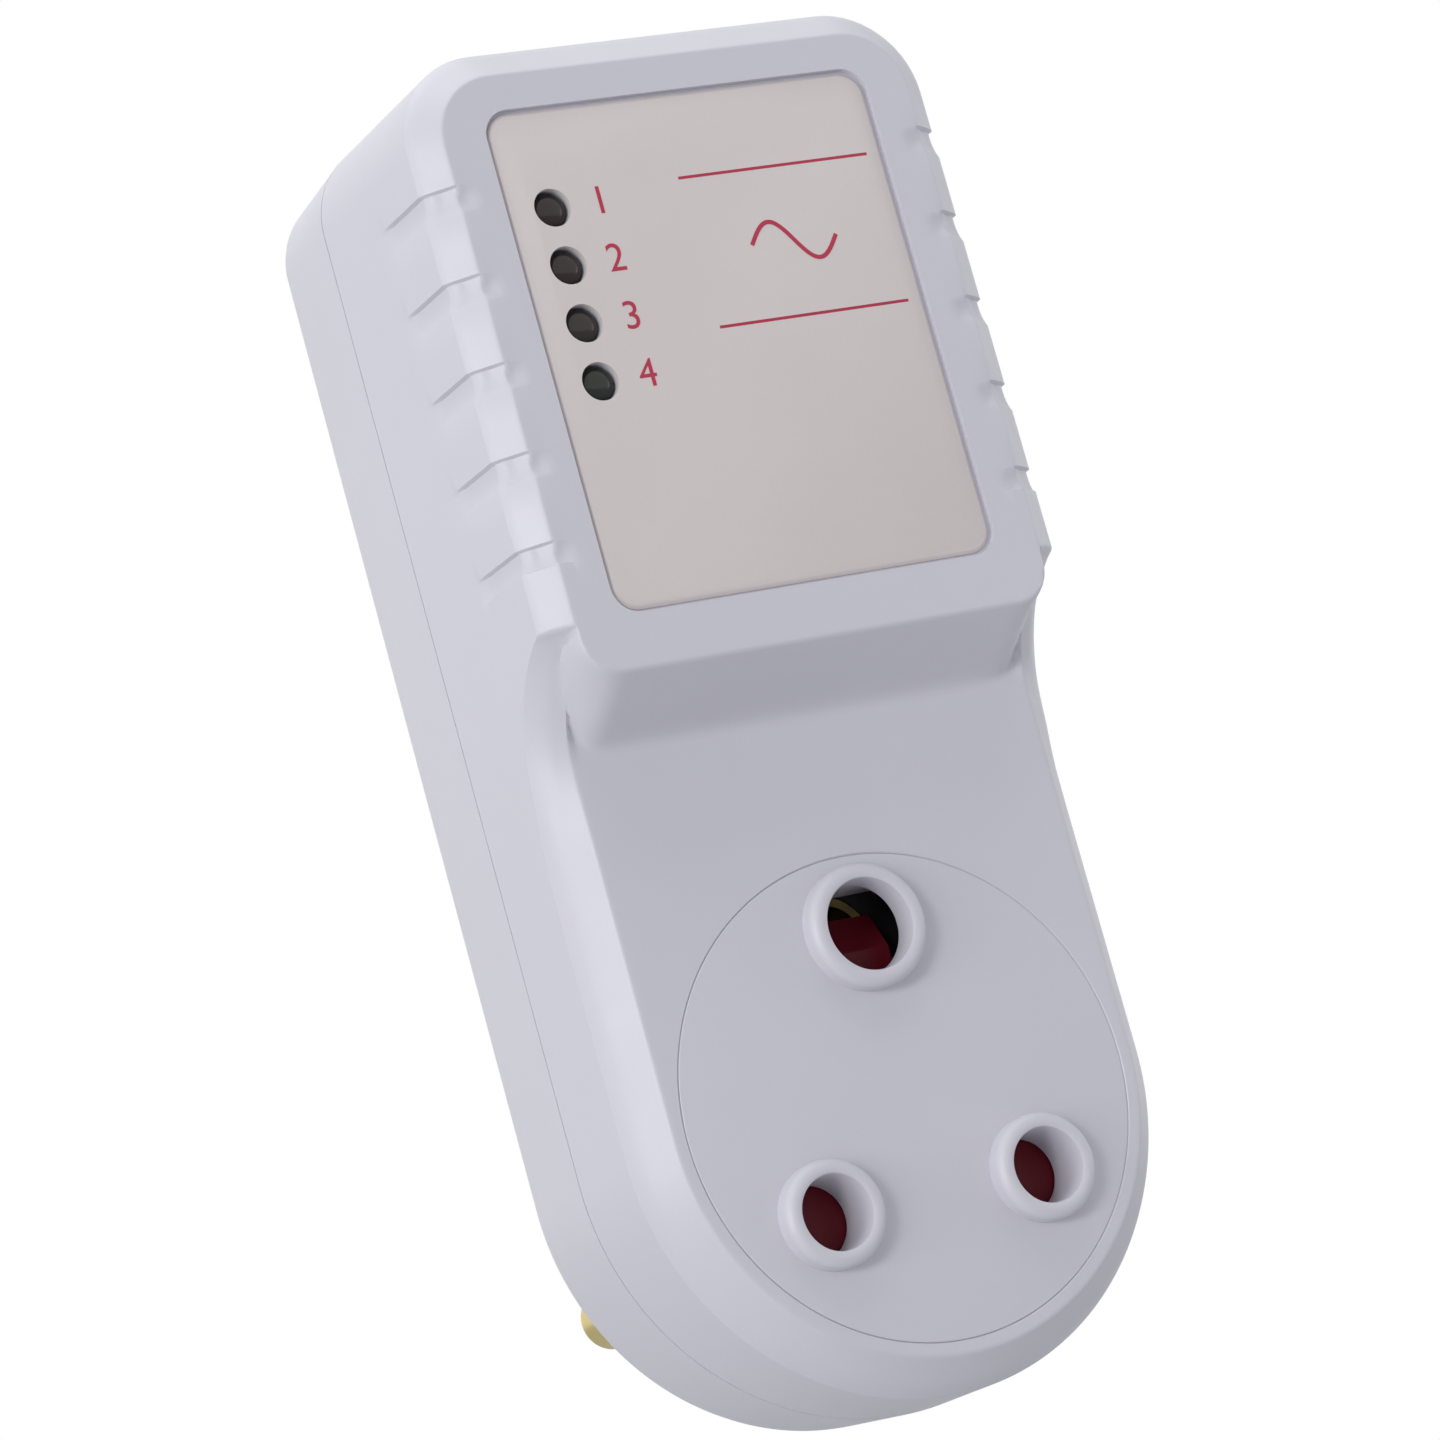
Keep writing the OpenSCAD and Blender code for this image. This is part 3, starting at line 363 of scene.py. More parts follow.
def rim_y(inset, z):
    """Depth of the socket face and its chamfered rim, which rises beside the head."""
    outer = RIM_DEPTH - RIM_RISE * math.exp(-max(0, STRIP_END - z) / SWEEP) * smooth(40, 48, z)
    crease = -min(HEAD_RISE, CREASE_CURVE * max(0, z - CREASE_START) ** 2)
    edge = RIM - (RIM - BEVEL) * smooth(54, STRIP_END, z)
    share = eased(edge - inset, 0.2) / edge
    return FACE + crease * min(1, max(0, 1 - (inset - edge))) + (outer - crease) * share


def skin_y(x, z, inset, bevel):
    """Depth of the front skin in millimetres at x, z, which lies inset from the outline."""
    low = smooth(STRIP_END, STRIP_END - 2 * BEND, z)
    near_end = smooth(STRIP_END, STRIP_END - BEND, z)
    swept = near_end * smooth(44, 54, z)
    width = 0.8 + 0.5 * low + swept
    softened = (0.35 + 0.45 * low + 0.5 * swept) * max(0, 1 - inset / width) ** 2
    u = max(0, bevel - inset)
    bevelled = HEAD + BEVEL_SLOPE * (math.sqrt(u * u + EDGE_EASE ** 2) - EDGE_EASE) + softened
    if z >= STRIP_END:
        return bevelled
    block = block_y(x, z)
    rim = rim_y(inset, z)
    blend = (1.6 - 0.8 * smooth(20, 27, abs(x))) * near_end + 0.01
    overlap = max(blend - abs(block - rim), 0) / blend
    swept_y = min(block, rim) - overlap * overlap * blend / 4 + softened
    fade = smooth(STRIP_END - STRIP_FADE, STRIP_END, z)
    return swept_y + (bevelled - swept_y) * fade


print("skin at the face, on the slope and on the head:",
      [round(skin_y(0, z, 20, BEVEL), 2) for z in (30, 56, 90)])

# %% [markdown]
# Five finger grooves run round each front corner of the head. Each is a scoop: a sharp step in at its upper
# edge and a hollow below it that comes back out in a curve. They could be cut with Booleans, but slender
# slivers would spoil the shading, so rows of the mesh are laid in each groove and simply pushed inwards.

# %% Finger grooves
GRIP_TOP = 111.4
GRIP_PITCH = 9.7
GRIP_COUNT = 5
GRIP_CUT = 0.5
GRIP_H = 3.1
GRIP_STEP = 0.25
DIMPLE = 0.5
GRIP_EDGES = [GRIP_TOP - i * GRIP_PITCH for i in range(GRIP_COUNT)]
GRIP_BACK = FACE + 3.4


def groove_depth(z):
    for edge in GRIP_EDGES:
        below = edge - z
        if 0 < below <= GRIP_STEP:
            return GRIP_CUT * below / GRIP_STEP
        if GRIP_STEP < below < GRIP_H:
            return GRIP_CUT * (1 - ((below - GRIP_STEP) / (GRIP_H - GRIP_STEP)) ** 3)
    return 0


def dimple_depth(z):
    """The soft end of a groove on the head's front: a shallow hollow with no sharp lip."""
    for edge in GRIP_EDGES:
        t = (edge - z) / GRIP_H
        if 0 < t < 1:
            return DIMPLE * (4 * t * (1 - t)) ** 2
    return 0


def groove_reach(inset, y):
    """How far a groove is open at this row, from 0 to 1."""
    if inset > 0:
        return smooth(5.7, 3.7, inset)
    return 1 - smooth(GRIP_BACK - 3, GRIP_BACK, y)


def groove_push(inset):
    """Direction of the push: straight in on the front, slanted on the bevel, sideways on the side."""
    slant = math.pi / 2 * smooth(0.3, 3.0, inset)
    return math.cos(slant), math.sin(slant)


print("grooves with upper edges at", [round(e, 1) for e in GRIP_EDGES])

# %% [markdown]
# Now the rows. Along the straight sides the mesh has rows at plain steps, dense rows over the slope and one
# row on each edge of each groove. Over the slope the rows are bent so that one of them follows the head's
# lower edge exactly, which keeps that edge clean all the way round its rounded corners.

# %% Rows of the front skin
STEP_LOW = 42
STEP_HIGH = 70
GRID_TOP = 60.5
STEP_ROWS = [STEP_LOW, 44, 46, 48, 49.5, 50.6, 51.3, 51.8, 52.2, 52.6, 53.1, 53.8, 54.6, 55.4, 56.1, 56.7,
             57.2, 57.5, 57.65, HEAD_EDGE, 57.95, 58.15, 58.5, 59.2, 59.6, 59.9, 60.2, GRID_TOP, 60.79, 60.93,
             62, 64, 66, 68, STEP_HIGH]
groove_rows = [e - d for e in GRIP_EDGES for d in (0, GRIP_STEP, 0.7, 1.3, 1.9, 2.5, 2.85, GRIP_H)]
plain_rows = [14, 18, 22, 26, 30, 34, 38] + [e - 6 for e in GRIP_EDGES[:-1]]
SIDE_ROWS = sorted(set(plain_rows + STEP_ROWS + [r for r in groove_rows if r > STEP_HIGH] + [113.5]))


def bent(row, x):
    """Height at x of a row that lies at this height in the middle."""
    if not STEP_LOW < row < STEP_HIGH:
        return row
    near = (row - STEP_LOW) / (HEAD_EDGE - STEP_LOW)
    far = (STEP_HIGH - row) / (STEP_HIGH - HEAD_EDGE)
    return row + (foot(x) - HEAD_EDGE) * min(near, far)


INSETS = [0.05, 0.15, 0.3, 0.5, 0.8, 1.2, 1.6, 2, 2.4, 2.8, 3, 3.15, 3.3, 3.45, 3.6, 3.9, 4.2, 4.5, 4.9,
          5.4, INNER_EDGE]
SIDE_SHARES = [0, 0.012, 0.04, 0.1, 0.2, 0.3, 0.335, 0.37, 0.405, 0.44, 0.6, 0.8, 1]
print(len(SIDE_ROWS), "rows on each straight side,", len(INSETS) + len(SIDE_SHARES), "points on each")

# %% [markdown]
# Each station on the outline carries a strip of points: from the parting line forwards along the side,
# over the rim and a little way onto the front. Strips side by side make the ring of the shell. The middle of
# the front is filled by a grid over the slope and two flat faces, and the open back by one more.

# %% Front shell, skin
def front_stations():
    """x, z, outward direction and row height of each strip."""
    found = []
    for x, z in outline_points(0, SIDE_ROWS):
        if z <= END_Z + TINY:
            out = Vector((x, z - END_Z)).normalized()
        elif z >= TOP - CORNER - TINY:
            cx = math.copysign(min(abs(x), HALF_W - CORNER), x)
            out = Vector((x - cx, z - (TOP - CORNER))).normalized()
        else:
            out = Vector((math.copysign(1, x), 0))
        on_side = END_Z + TINY < z < TOP - CORNER - TINY
        found.append((x, z, out, z if on_side else None))
    return found


def strip_point(station, inset):
    x, z, out, row = station
    px = x - inset * out.x
    pz = bent(row, px) if row is not None else z - inset * out.y
    y = skin_y(px, pz, inset, BEVEL + 0.2 * max(0, out.y))
    if row is not None and row > STEP_HIGH:
        soft = smooth(2.9, 3.6, inset)
        depth_here = groove_depth(row) * (1 - soft) + dimple_depth(row) * soft
        push = depth_here * groove_reach(inset, y)
        sideways, inwards = groove_push(inset)
        px -= math.copysign(push * sideways, px)
        y += push * inwards
    return px, y, pz


def front_strip(station):
    x, _, out, row = station
    _, edge_y, edge_z = strip_point(station, 0)
    lip = PARTING - LINE_HALF
    points = [(x - LINE_DEPTH * out.x, y, edge_z - LINE_DEPTH * out.y) for y in (PARTING, lip)]
    for share in reversed(SIDE_SHARES):
        y = edge_y + (lip - edge_y) * share
        push = 0
        if row is not None and row > STEP_HIGH:
            push = groove_depth(row) * groove_reach(0, y)
        points.append((x - math.copysign(push, x) * abs(out.x), y, edge_z))
    return points + [strip_point(station, inset) for inset in INSETS]


stations = front_stations()
strips = [front_strip(s) for s in stations]
depth = len(strips[0])
skin_points = [p for strip in strips for p in strip]
skin_faces = []
for i in range(len(strips)):
    j = (i + 1) % len(strips)
    for k in range(depth - 1):
        skin_faces.append([i * depth + k, j * depth + k, j * depth + k + 1, i * depth + k + 1])
skin_faces.append([i * depth for i in range(len(strips))])
print(len(strips), "strips of", depth, "points")

# %% Front shell, middle of the face
inner = {}
for i, (x, _, _, row) in enumerate(stations):
    if row is not None:
        inner[(round(row, 3), x > 0)] = i * depth + depth - 1
columns = list(range(-24, 25))
grid_rows = [r for r in STEP_ROWS if r <= GRID_TOP]
grid = []
for row in grid_rows:
    line = [inner[(round(row, 3), False)]]
    for x in columns:
        z = bent(row, x)
        line.append(len(skin_points))
        skin_points.append((x, skin_y(x, z, INNER_EDGE, BEVEL), z))
    grid.append(line + [inner[(round(row, 3), True)]])
for low, high in zip(grid, grid[1:]):
    for k in range(len(low) - 1):
        skin_faces.append([low[k], low[k + 1], high[k + 1], high[k]])
ring = [i * depth + depth - 1 for i in range(len(strips))]
right_low, left_low = ring.index(grid[0][-1]), ring.index(grid[0][0])
right_high, left_high = ring.index(grid[-1][-1]), ring.index(grid[-1][0])
skin_faces.append(ring[left_low:] + ring[:right_low + 1] + grid[0][1:-1][::-1])
skin_faces.append(ring[right_high:left_high + 1] + grid[-1][1:-1])
front = make_piece("front_shell", skin_points, skin_faces, math.radians(24))
report(front)

# %% [markdown]
# The skin is closed but solid, so it is hollowed: one pocket behind the socket face and a deeper one in the
# head. Then come the openings, for the round socket insert, the label's shallow bed and the four lamps, and
# inside stand the bosses that take the screws.

# %% Front shell, hollow and openings
LAMP_X = -17.5
LAMP_HEIGHTS = [107.7, 101.3, 94.9, 88.5]
LAMP_HOLE_D = 4.2
BED = (-22.95, 22.95, 63.7, 118.8)
BED_CORNER = 3
BED_DEPTH = 0.8
HEAD_HOLLOW_Z = 60.5
INSERT_R = HALF_W - 5
OPENING_BACK = FACE + 4
LATHE_FINE = 144
cut(front, prism("hollow", outline_points(WALL), FACE + WALL, PARTING + OVER))
hollow = rounded_rectangle(WALL - HALF_W, HALF_W - WALL, HEAD_HOLLOW_Z, TOP - WALL, CORNER - WALL)
cut(front, prism("head_hollow", hollow, HEAD + WALL, PARTING + 2 * OVER))
opening = [(0, FACE - OVER), (INSERT_R + 1.15, FACE - OVER), (INSERT_R, FACE + 0.15),
           (INSERT_R, OPENING_BACK), (0, OPENING_BACK)]
cut(front, turned("insert_opening", opening, 0, END_Z, LATHE_FINE))
cut(front, prism("label_bed", rounded_rectangle(*BED, BED_CORNER), HEAD - OVER, HEAD + BED_DEPTH))
for z in LAMP_HEIGHTS:
    cut(front, rod("lamp_hole", LAMP_X, z, HEAD - OVER, HEAD + WALL + OVER, LAMP_HOLE_D, 48))
report(front)

# %% Front shell, bosses
BOSS_ROOT = 1.5
PILOT_D, PILOT_L = 3.1, 14
POST_X = 22
POST_HEIGHTS = (66, 112)
POST_D = 4.8
POST_BACK = -36
SMALL_PILOT_D, SMALL_PILOT_L = 2.3, 6
for x in (-SCREW_X, SCREW_X):
    for z, skin in zip(SCREW_HEIGHTS, (FACE, HEAD)):
        join(front, rod("screw_boss", x, z, skin + BOSS_ROOT, PARTING, BOSS_D))
        cut(front, rod("pilot", x, z, PARTING - PILOT_L, PARTING + OVER, PILOT_D, 40))
for x in (-POST_X, POST_X):
    for z in POST_HEIGHTS:
        join(front, rod("board_post", x, z, HEAD + BOSS_ROOT, POST_BACK, POST_D, 48))
        cut(front, rod("post_pilot", x, z, POST_BACK - SMALL_PILOT_L, POST_BACK + OVER, SMALL_PILOT_D, 32))
report(front)

# %% [markdown]
# The rear shell has the same outline. Its sides draw in by a millimetre towards the back, as moulded parts
# do, and end in a 4 mm round. Where the two shells meet, both are set back a little, which makes the thin
# parting line.

# %% Rear shell
DRAFT = 1
ROUND = 4
rear_levels = [(PARTING, LINE_DEPTH), (PARTING + LINE_HALF, LINE_DEPTH), (PARTING + LINE_HALF, 0)]
rear_levels += [(SHELL_BACK - ROUND * (1 - math.sin(a)), DRAFT + ROUND * (1 - math.cos(a)))
                for a in quarter(8)]
rear_heights = range(14, 116, 6)
rear = stacked("rear_shell", [(y, outline_points(inset, rear_heights)) for y, inset in rear_levels])
report(rear)

# %% Rear shell, plug base and hollow
BASE_R = 25.5
BASE_CAVITY_D = 46.2
LIP_GAP, LIP_H, LIP_IN, LIP_ROOT = 0.15, 1.5, 1, 1
PIN_PLAY, FLANGE_PLAY, FLANGE_ROOM = 0.7, 2.1, 3
PLUG_PINS = [(-LINE_X, 0, 7.06, 18.62), (LINE_X, 0, 7.06, 18.62), (0, EARTH_Z, 8.71, 28.58)]
back_inside = SHELL_BACK - WALL
base = [(0, back_inside), (BASE_R, back_inside)] + soft_end(BASE_R, 0, 0.8, -1)[::-1] + [(0, 0)]
join(rear, turned("plug_base", base, 0, END_Z, LATHE_FINE))
cut(rear, prism("rear_hollow", outline_points(WALL + DRAFT), PARTING - OVER, back_inside))
cut(rear, rod("base_cavity", 0, END_Z, back_inside - OVER, -WALL, BASE_CAVITY_D, 96))
edge = prism("lip", outline_points(WALL + LIP_GAP), PARTING - LIP_H, PARTING + LIP_ROOT)
cut(edge, prism("lip_hollow", outline_points(WALL + LIP_IN), PARTING - 2 * LIP_H, PARTING + 2 * LIP_H))
join(rear, edge)
for x, z, d, _ in PLUG_PINS:
    cut(rear, rod("pin_hole", x, z, -WALL - OVER, OVER, d + PIN_PLAY))
    cut(rear, rod("flange_pocket", x, z, -WALL - FLANGE_ROOM, -WALL, d + FLANGE_PLAY))
report(rear)

# %% Rear shell, screw wells
WELL_D = 6
WELL_SEAT = -10
CLEARANCE_D = 3.4
for x in (-SCREW_X, SCREW_X):
    for z in SCREW_HEIGHTS:
        join(rear, rod("well_boss", x, z, PARTING + 0.1, back_inside + 0.5, BOSS_D))
        cut(rear, rod("well", x, z, WELL_SEAT, SHELL_BACK + OVER, WELL_D))
        cut(rear, rod("clearance", x, z, PARTING - OVER, SHELL_BACK + OVER, CLEARANCE_D))
report(rear)

# %% [markdown]
# The socket insert is a separate round moulding. It stands flush in the front shell with a hair of a gap
# round it, and three rounded collars ring the holes. The collars are lathe work too: a disc, a flange
# behind it, a tube for each hole, and then the holes themselves with a small lead-in at the mouth.

# %% Socket insert
SEAT = 0.03
FLANGE_OUT = 1.5
DISC_BACK = FACE + 3.9
GUIDE_BACK = FACE + 4
GUIDE_FRONT = FACE + 2
GUIDE_IN = 0.4
COLLARS = [(-LINE_X, 0, 11.5, 8), (LINE_X, 0, 11.5, 8), (0, EARTH_Z, 13.5, 9.8)]
COLLAR_FRONT = insert_low.y
COLLAR_SIDES = 80
PILLAR_X, PILLAR_Z, PILLAR_D = 17, 24, 6
POCKET_LOW, POCKET_HIGH, POCKET_HALF = 23.68, 33.48, 6.5
HOOD_H = 1.5
HOOD_FRONT, HOOD_BACK = FACE + 2.5, FACE + 7.3
HOLE_BACK = COLLAR_FRONT + 12
disc_r = INSERT_R - SEAT
flange_r = INSERT_R + FLANGE_OUT
disc = [(0, FACE)] + soft_end(disc_r, FACE, 0.15, 1)
disc += [(disc_r, FACE + WALL), (flange_r, FACE + WALL), (flange_r, DISC_BACK), (0, DISC_BACK)]
insert = turned("socket_face", disc, 0, END_Z, LATHE_FINE)
for x, z, d, _ in COLLARS:
    r = d / 2
    tube = [(0, COLLAR_FRONT)] + soft_end(r, COLLAR_FRONT, 1, 1)
    tube += [(r, GUIDE_FRONT), (r - GUIDE_IN, GUIDE_FRONT), (r - GUIDE_IN, GUIDE_BACK), (0, GUIDE_BACK)]
    join(insert, turned("collar", tube, x, z, COLLAR_SIDES))
for x in (-PILLAR_X, PILLAR_X):
    join(insert, rod("pillar", x, PILLAR_Z, FACE + 3, insert_high.y, PILLAR_D))
    cut(insert, rod("pillar_pilot", x, PILLAR_Z, insert_high.y - SMALL_PILOT_L, insert_high.y + OVER,
                    SMALL_PILOT_D, 32))
pocket = rounded_rectangle(-POCKET_HALF, POCKET_HALF, POCKET_LOW, POCKET_HIGH, 0.4, 3)
cut(insert, prism("pocket", pocket, FACE + 1, GUIDE_BACK + OVER))
hood = rounded_rectangle(-POCKET_HALF, POCKET_HALF, POCKET_HIGH, POCKET_HIGH + HOOD_H, 0.3, 3)
join(insert, prism("hood", hood, HOOD_FRONT, HOOD_BACK))
for x, z, _, hole in COLLARS:
    r = hole / 2
    mouth = [(0, COLLAR_FRONT - OVER), (r + 0.35, COLLAR_FRONT - OVER), (r + 0.35, COLLAR_FRONT)]
    mouth += [(r + 0.1, COLLAR_FRONT + 0.12), (r, COLLAR_FRONT + 0.4), (r, HOLE_BACK), (0, HOLE_BACK)]
    cut(insert, turned("hole", mouth, x, z, COLLAR_SIDES))
report(insert)

# %% [markdown]
# The label is a plate in a shallow bed. Its front edge is eased, so that it catches a thin line of light on
# one side and leaves a thin dark one on the other.

# %% Label plate
plate_low, plate_high = box_mm("label_plate")
PLATE_CORNER = 2.7
plate_levels = [(plate_high.y, 0), (plate_low.y + 0.32, 0), (plate_low.y + 0.05, 0.3), (plate_low.y, 0.42)]
plate_layers = []
for y, inset in plate_levels:
    plate_layers.append((y, rounded_rectangle(plate_low.x + inset, plate_high.x - inset, plate_low.z + inset,
                                              plate_high.z - inset, PLATE_CORNER - inset)))
plate = stacked("label_film_plate", plate_layers)
for z in LAMP_HEIGHTS:
    cut(plate, rod("lamp_window", LAMP_X, z, HEAD - OVER, HEAD + OVER, LAMP_HOLE_D, 48))
report(plate)

# %% [markdown]
# The plug pins are turned brass with a small rounded tip. Each has a thicker root inside the plug base, a
# flange that stops it from being pulled out and a thin stem that takes the wire.

# %% Plug pins
STEM_R = 2.4
FLANGE = -WALL - 1.6
FLANGE_RIM = 1
ROOT_RIM = 0.3
TIP_L, TIP_IN = 1.4, 1.1


def plug_pin(name, node, x, z, d, length):
    stem = box_mm(node)[0].y
    r = d / 2
    flange_r, root_r = r + FLANGE_RIM, r + ROOT_RIM
    profile = [(0, stem), (STEM_R - 0.2, stem), (STEM_R, stem + 0.2), (STEM_R, FLANGE), (flange_r, FLANGE)]
    profile += [(flange_r, -WALL), (root_r, -WALL), (root_r, 0), (r, 0), (r, length - TIP_L)]
    profile += [(r - TIP_IN * (1 - math.cos(a)), length - TIP_L * (1 - math.sin(a))) for a in quarter(6)[1:]]
    profile += [(r * 0.3, length), (0, length)]
    pin = turned(name, profile, x, z, 64, math.radians(40))
    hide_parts(node)
    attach(pin, "body")
    report(pin)
    return pin


pins = [plug_pin(f"turned_{node}", node, *place) for node, place in
        zip(("neutral_pin", "live_pin", "earth_pin"), PLUG_PINS)]

# %% [markdown]
# The shutter stands on a small wound spring. Its wire follows a helix that climbs slowly in the first and
# last turns, as the closed ends of a real spring do, and a ring of points goes round the wire at each step.
# When the shutter slides down, the real spring is pressed together towards its seat by the same distance;
# further down the length it keeps then is worked out and printed, while the mesh stays at its free length.

# %% Shutter spring
def wound_spring(name, node, wire, turns, clear, steps=28, sides=10):
    low, high = box_mm(node)
    middle_x, middle_y = (low.x + high.x) / 2, (low.y + high.y) / 2
    radius = (high.x - low.x - wire) / 2
    climb = high.z - low.z - clear - wire
    points = []
    for i in range(turns * steps + 1):
        angle = math.tau * i / steps
        rise = low.z + wire / 2 + climb * smooth(0, turns * steps, i)
        for k in range(sides):
            round_wire = math.tau * k / sides
            r = radius + wire / 2 * math.cos(round_wire)
            points.append((middle_x + r * math.cos(angle), middle_y + r * math.sin(angle),
                           rise + wire / 2 * math.sin(round_wire)))
    faces = []
    for start in range(0, turns * steps * sides, sides):
        for k in range(sides):
            after = start + (k + 1) % sides
            faces.append([start + k, after, after + sides, start + sides + k])
    faces += [list(range(sides)), list(range(turns * steps * sides, (turns * steps + 1) * sides))]
    piece = make_piece(name, points, faces, math.radians(50))
    return piece, Vector((middle_x, middle_y, low.z)), high.z - low.z - clear


spring, spring_seat, spring_length = wound_spring("wound_spring", "shutter_spring", 0.5, 7, 0.05)
report(spring)

# %% [markdown]
# Screws repeat, so they are a job for Geometry Nodes. One screw is made on the lathe, with ridges for its
# thread and a cross in its head. A node tree then stands copies of it on the corners of a rectangle whose
# middle, width and height are inputs, with columns and rows. The tree ends in Realize Instances and Set
# Material, and the result is turned into a plain mesh for the export.

# %% One screw on the lathe
THREAD_CORE = 0.82
THREAD_PITCH = 0.36


def screw_mesh(name, head_d, head_h, shank_d, length):
    """A screw whose head's underside lies at y = 0 and whose shank runs towards the viewer."""
    r = shank_d / 2
    core = r * THREAD_CORE
    pitch = shank_d * THREAD_PITCH
    profile = [(0, -length), (core * 0.4, -length)]
    turns = int((length - 0.8) / pitch)
    for i in range(turns):
        y = -length + 0.4 + i * pitch
        profile += [(core, y), (r, y + pitch * 0.35), (r, y + pitch * 0.5)]
    profile += [(core, -0.3), (r, 0)]
    dome = soft_end(head_d / 2, head_h, head_h * 0.35, -1)
    profile += [(head_d / 2, 0)] + dome[::-1] + [(0, head_h)]
    screw = turned(name, profile, 0, 0, 32, math.radians(25))
    arm, width = head_d * 0.3, head_d * 0.12
    cross = [(width, width), (arm, width), (arm, -width), (width, -width), (width, -arm), (-width, -arm)]
    cross += [(-width, -width), (-arm, -width), (-arm, width), (-width, width), (-width, arm), (width, arm)]
    cut(screw, prism("cross", cross, head_h * 0.35, head_h + OVER))
    return screw


# %% Node tree that stands screws on a rectangle
def build_screw_tree():
    tree = bpy.data.node_groups.new("screws_on_a_rectangle", "GeometryNodeTree")
    face = tree.interface
    face.new_socket("Geometry", in_out="INPUT", socket_type="NodeSocketGeometry")
    face.new_socket("Geometry", in_out="OUTPUT", socket_type="NodeSocketGeometry")
    for label, kind in (("Screw", "Object"), ("Width", "Float"), ("Height", "Float"), ("Columns", "Int"),
                        ("Rows", "Int"), ("Middle", "Vector"), ("Finish", "Material")):
        face.new_socket(label, in_out="INPUT", socket_type="NodeSocket" + kind)

    def step(kind, sources):
        """Adds a node and links each source to the input of that name."""
        node = tree.nodes.new(kind)
        for label, source in sources.items():
            tree.links.new(source, node.inputs[label])
        return node

    given = step("NodeGroupInput", {}).outputs
    places = step("GeometryNodeMeshGrid", {"Size X": given["Width"], "Size Y": given["Height"],
                                           "Vertices X": given["Columns"], "Vertices Y": given["Rows"]})
    upright = step("GeometryNodeTransform", {"Geometry": places.outputs[0], "Translation": given["Middle"]})
    upright.inputs["Rotation"].default_value = (math.pi / 2, 0, 0)
    screw = step("GeometryNodeObjectInfo", {"Object": given["Screw"]}).outputs["Geometry"]
    stand = step("GeometryNodeInstanceOnPoints", {"Points": upright.outputs[0], "Instance": screw})
    real = step("GeometryNodeRealizeInstances", {"Geometry": stand.outputs[0]})
    dressed = step("GeometryNodeSetMaterial", {"Geometry": real.outputs[0], "Material": given["Finish"]})
    step("NodeGroupOutput", {"Geometry": dressed.outputs[0]})
    return tree


screw_tree = build_screw_tree()
print("screw tree with", len(screw_tree.nodes), "nodes")

# %% [markdown]
# Shader maths reads best as arithmetic. The small class below wraps a node socket, so that an expression
# such as rough + (waves - 0.5) * 0.08 adds its own Math nodes. The reflected forms let a plain number stand
# first, as in 1 - waves. Every other node comes from one method that is told the node's type, its settings
# and what goes into its sockets.

# %% Sockets that can stand in an expression
class Wire:
    """One output of a material's node tree."""

    def __init__(self, finish, socket):
        self.finish = finish
        self.socket = socket

    def maths(self, operation, first, second=0.0):
        return self.finish.node("ShaderNodeMath", {"operation": operation}, {0: first, 1: second})

    def __add__(self, other):
        return self.maths("ADD", self, other)

    def __sub__(self, other):
        return self.maths("SUBTRACT", self, other)

    def __mul__(self, other):
        return self.maths("MULTIPLY", self, other)

    def __rsub__(self, other):
        return self.maths("SUBTRACT", other, self)

    def __lt__(self, other):
        return self.maths("LESS_THAN", self, other)

    def __gt__(self, other):
        return self.maths("GREATER_THAN", self, other)

    def __abs__(self):
        return self.maths("ABSOLUTE", self)

    __radd__ = __add__
    __rmul__ = __mul__


class Finish:
    """A material under construction."""

    def __init__(self, name):
        self.material = bpy.data.materials.new(name)
        self.material.use_nodes = True
        self.tree = self.material.node_tree
        self.tree.nodes.clear()
        self.place = self.node("ShaderNodeTexCoord", output="Object")

    def node(self, kind, settings=None, inputs=None, output=0):
        node = self.tree.nodes.new(kind)
        for key, value in (settings or {}).items():
            setattr(node, key, value)
        for key, value in (inputs or {}).items():
            if isinstance(value, Wire):
                self.tree.links.new(value.socket, node.inputs[key])
            else:
                node.inputs[key].default_value = value
        return Wire(self, node.outputs[output])

    def noise(self, scale, detail=3.0, roughness=0.5, at=None):
        given = {"Vector": at or self.place, "Scale": scale, "Detail": detail, "Roughness": roughness}
        return self.node("ShaderNodeTexNoise", None, given, "Fac")

    def axis(self, letter):
        return self.node("ShaderNodeSeparateXYZ", None, {"Vector": self.place}, letter)

    def mix(self, share, first, second):
        return self.node("ShaderNodeMix", {"data_type": "RGBA"}, {0: share, 6: first, 7: second}, 2)

    def bump(self, height, strength, distance):
        given = {"Height": height, "Strength": strength, "Distance": distance}
        return self.node("ShaderNodeBump", None, given, "Normal")

    def surface(self, **inputs):
        given = {key.replace("_", " "): value for key, value in inputs.items()}
        shader = self.node("ShaderNodeBsdfPrincipled", None, given, "BSDF")
        end = self.tree.nodes.new("ShaderNodeOutputMaterial")
        self.tree.links.new(shader.socket, end.inputs["Surface"])
        return self.material


# %% [markdown]
# Colours are written as they read on a screen and turned to linear light by the usual curve, because
# shaders work in linear light.

# %% Colours
def colour(red, green, blue):
    def linear(value):
        value /= 255
        return value / 12.92 if value <= 0.04045 else ((value + 0.055) / 1.055) ** 2.4
    return linear(red), linear(green), linear(blue), 1.0


def shade(base, factor):
    return tuple(min(1, c * factor) for c in base[:3]) + (1.0,)


print("shell colour in linear light", [round(c, 3) for c in colour(208, 207, 216)])

# %% [markdown]
# The shells and the socket are satin white ABS with a faint cool cast. Moulded plastic is never quite even:
# the tool leaves a very fine grain, slow waves show in the gloss, and handling dulls some places. Three
# noises at three scales give those, in the colour, the roughness and the bump.

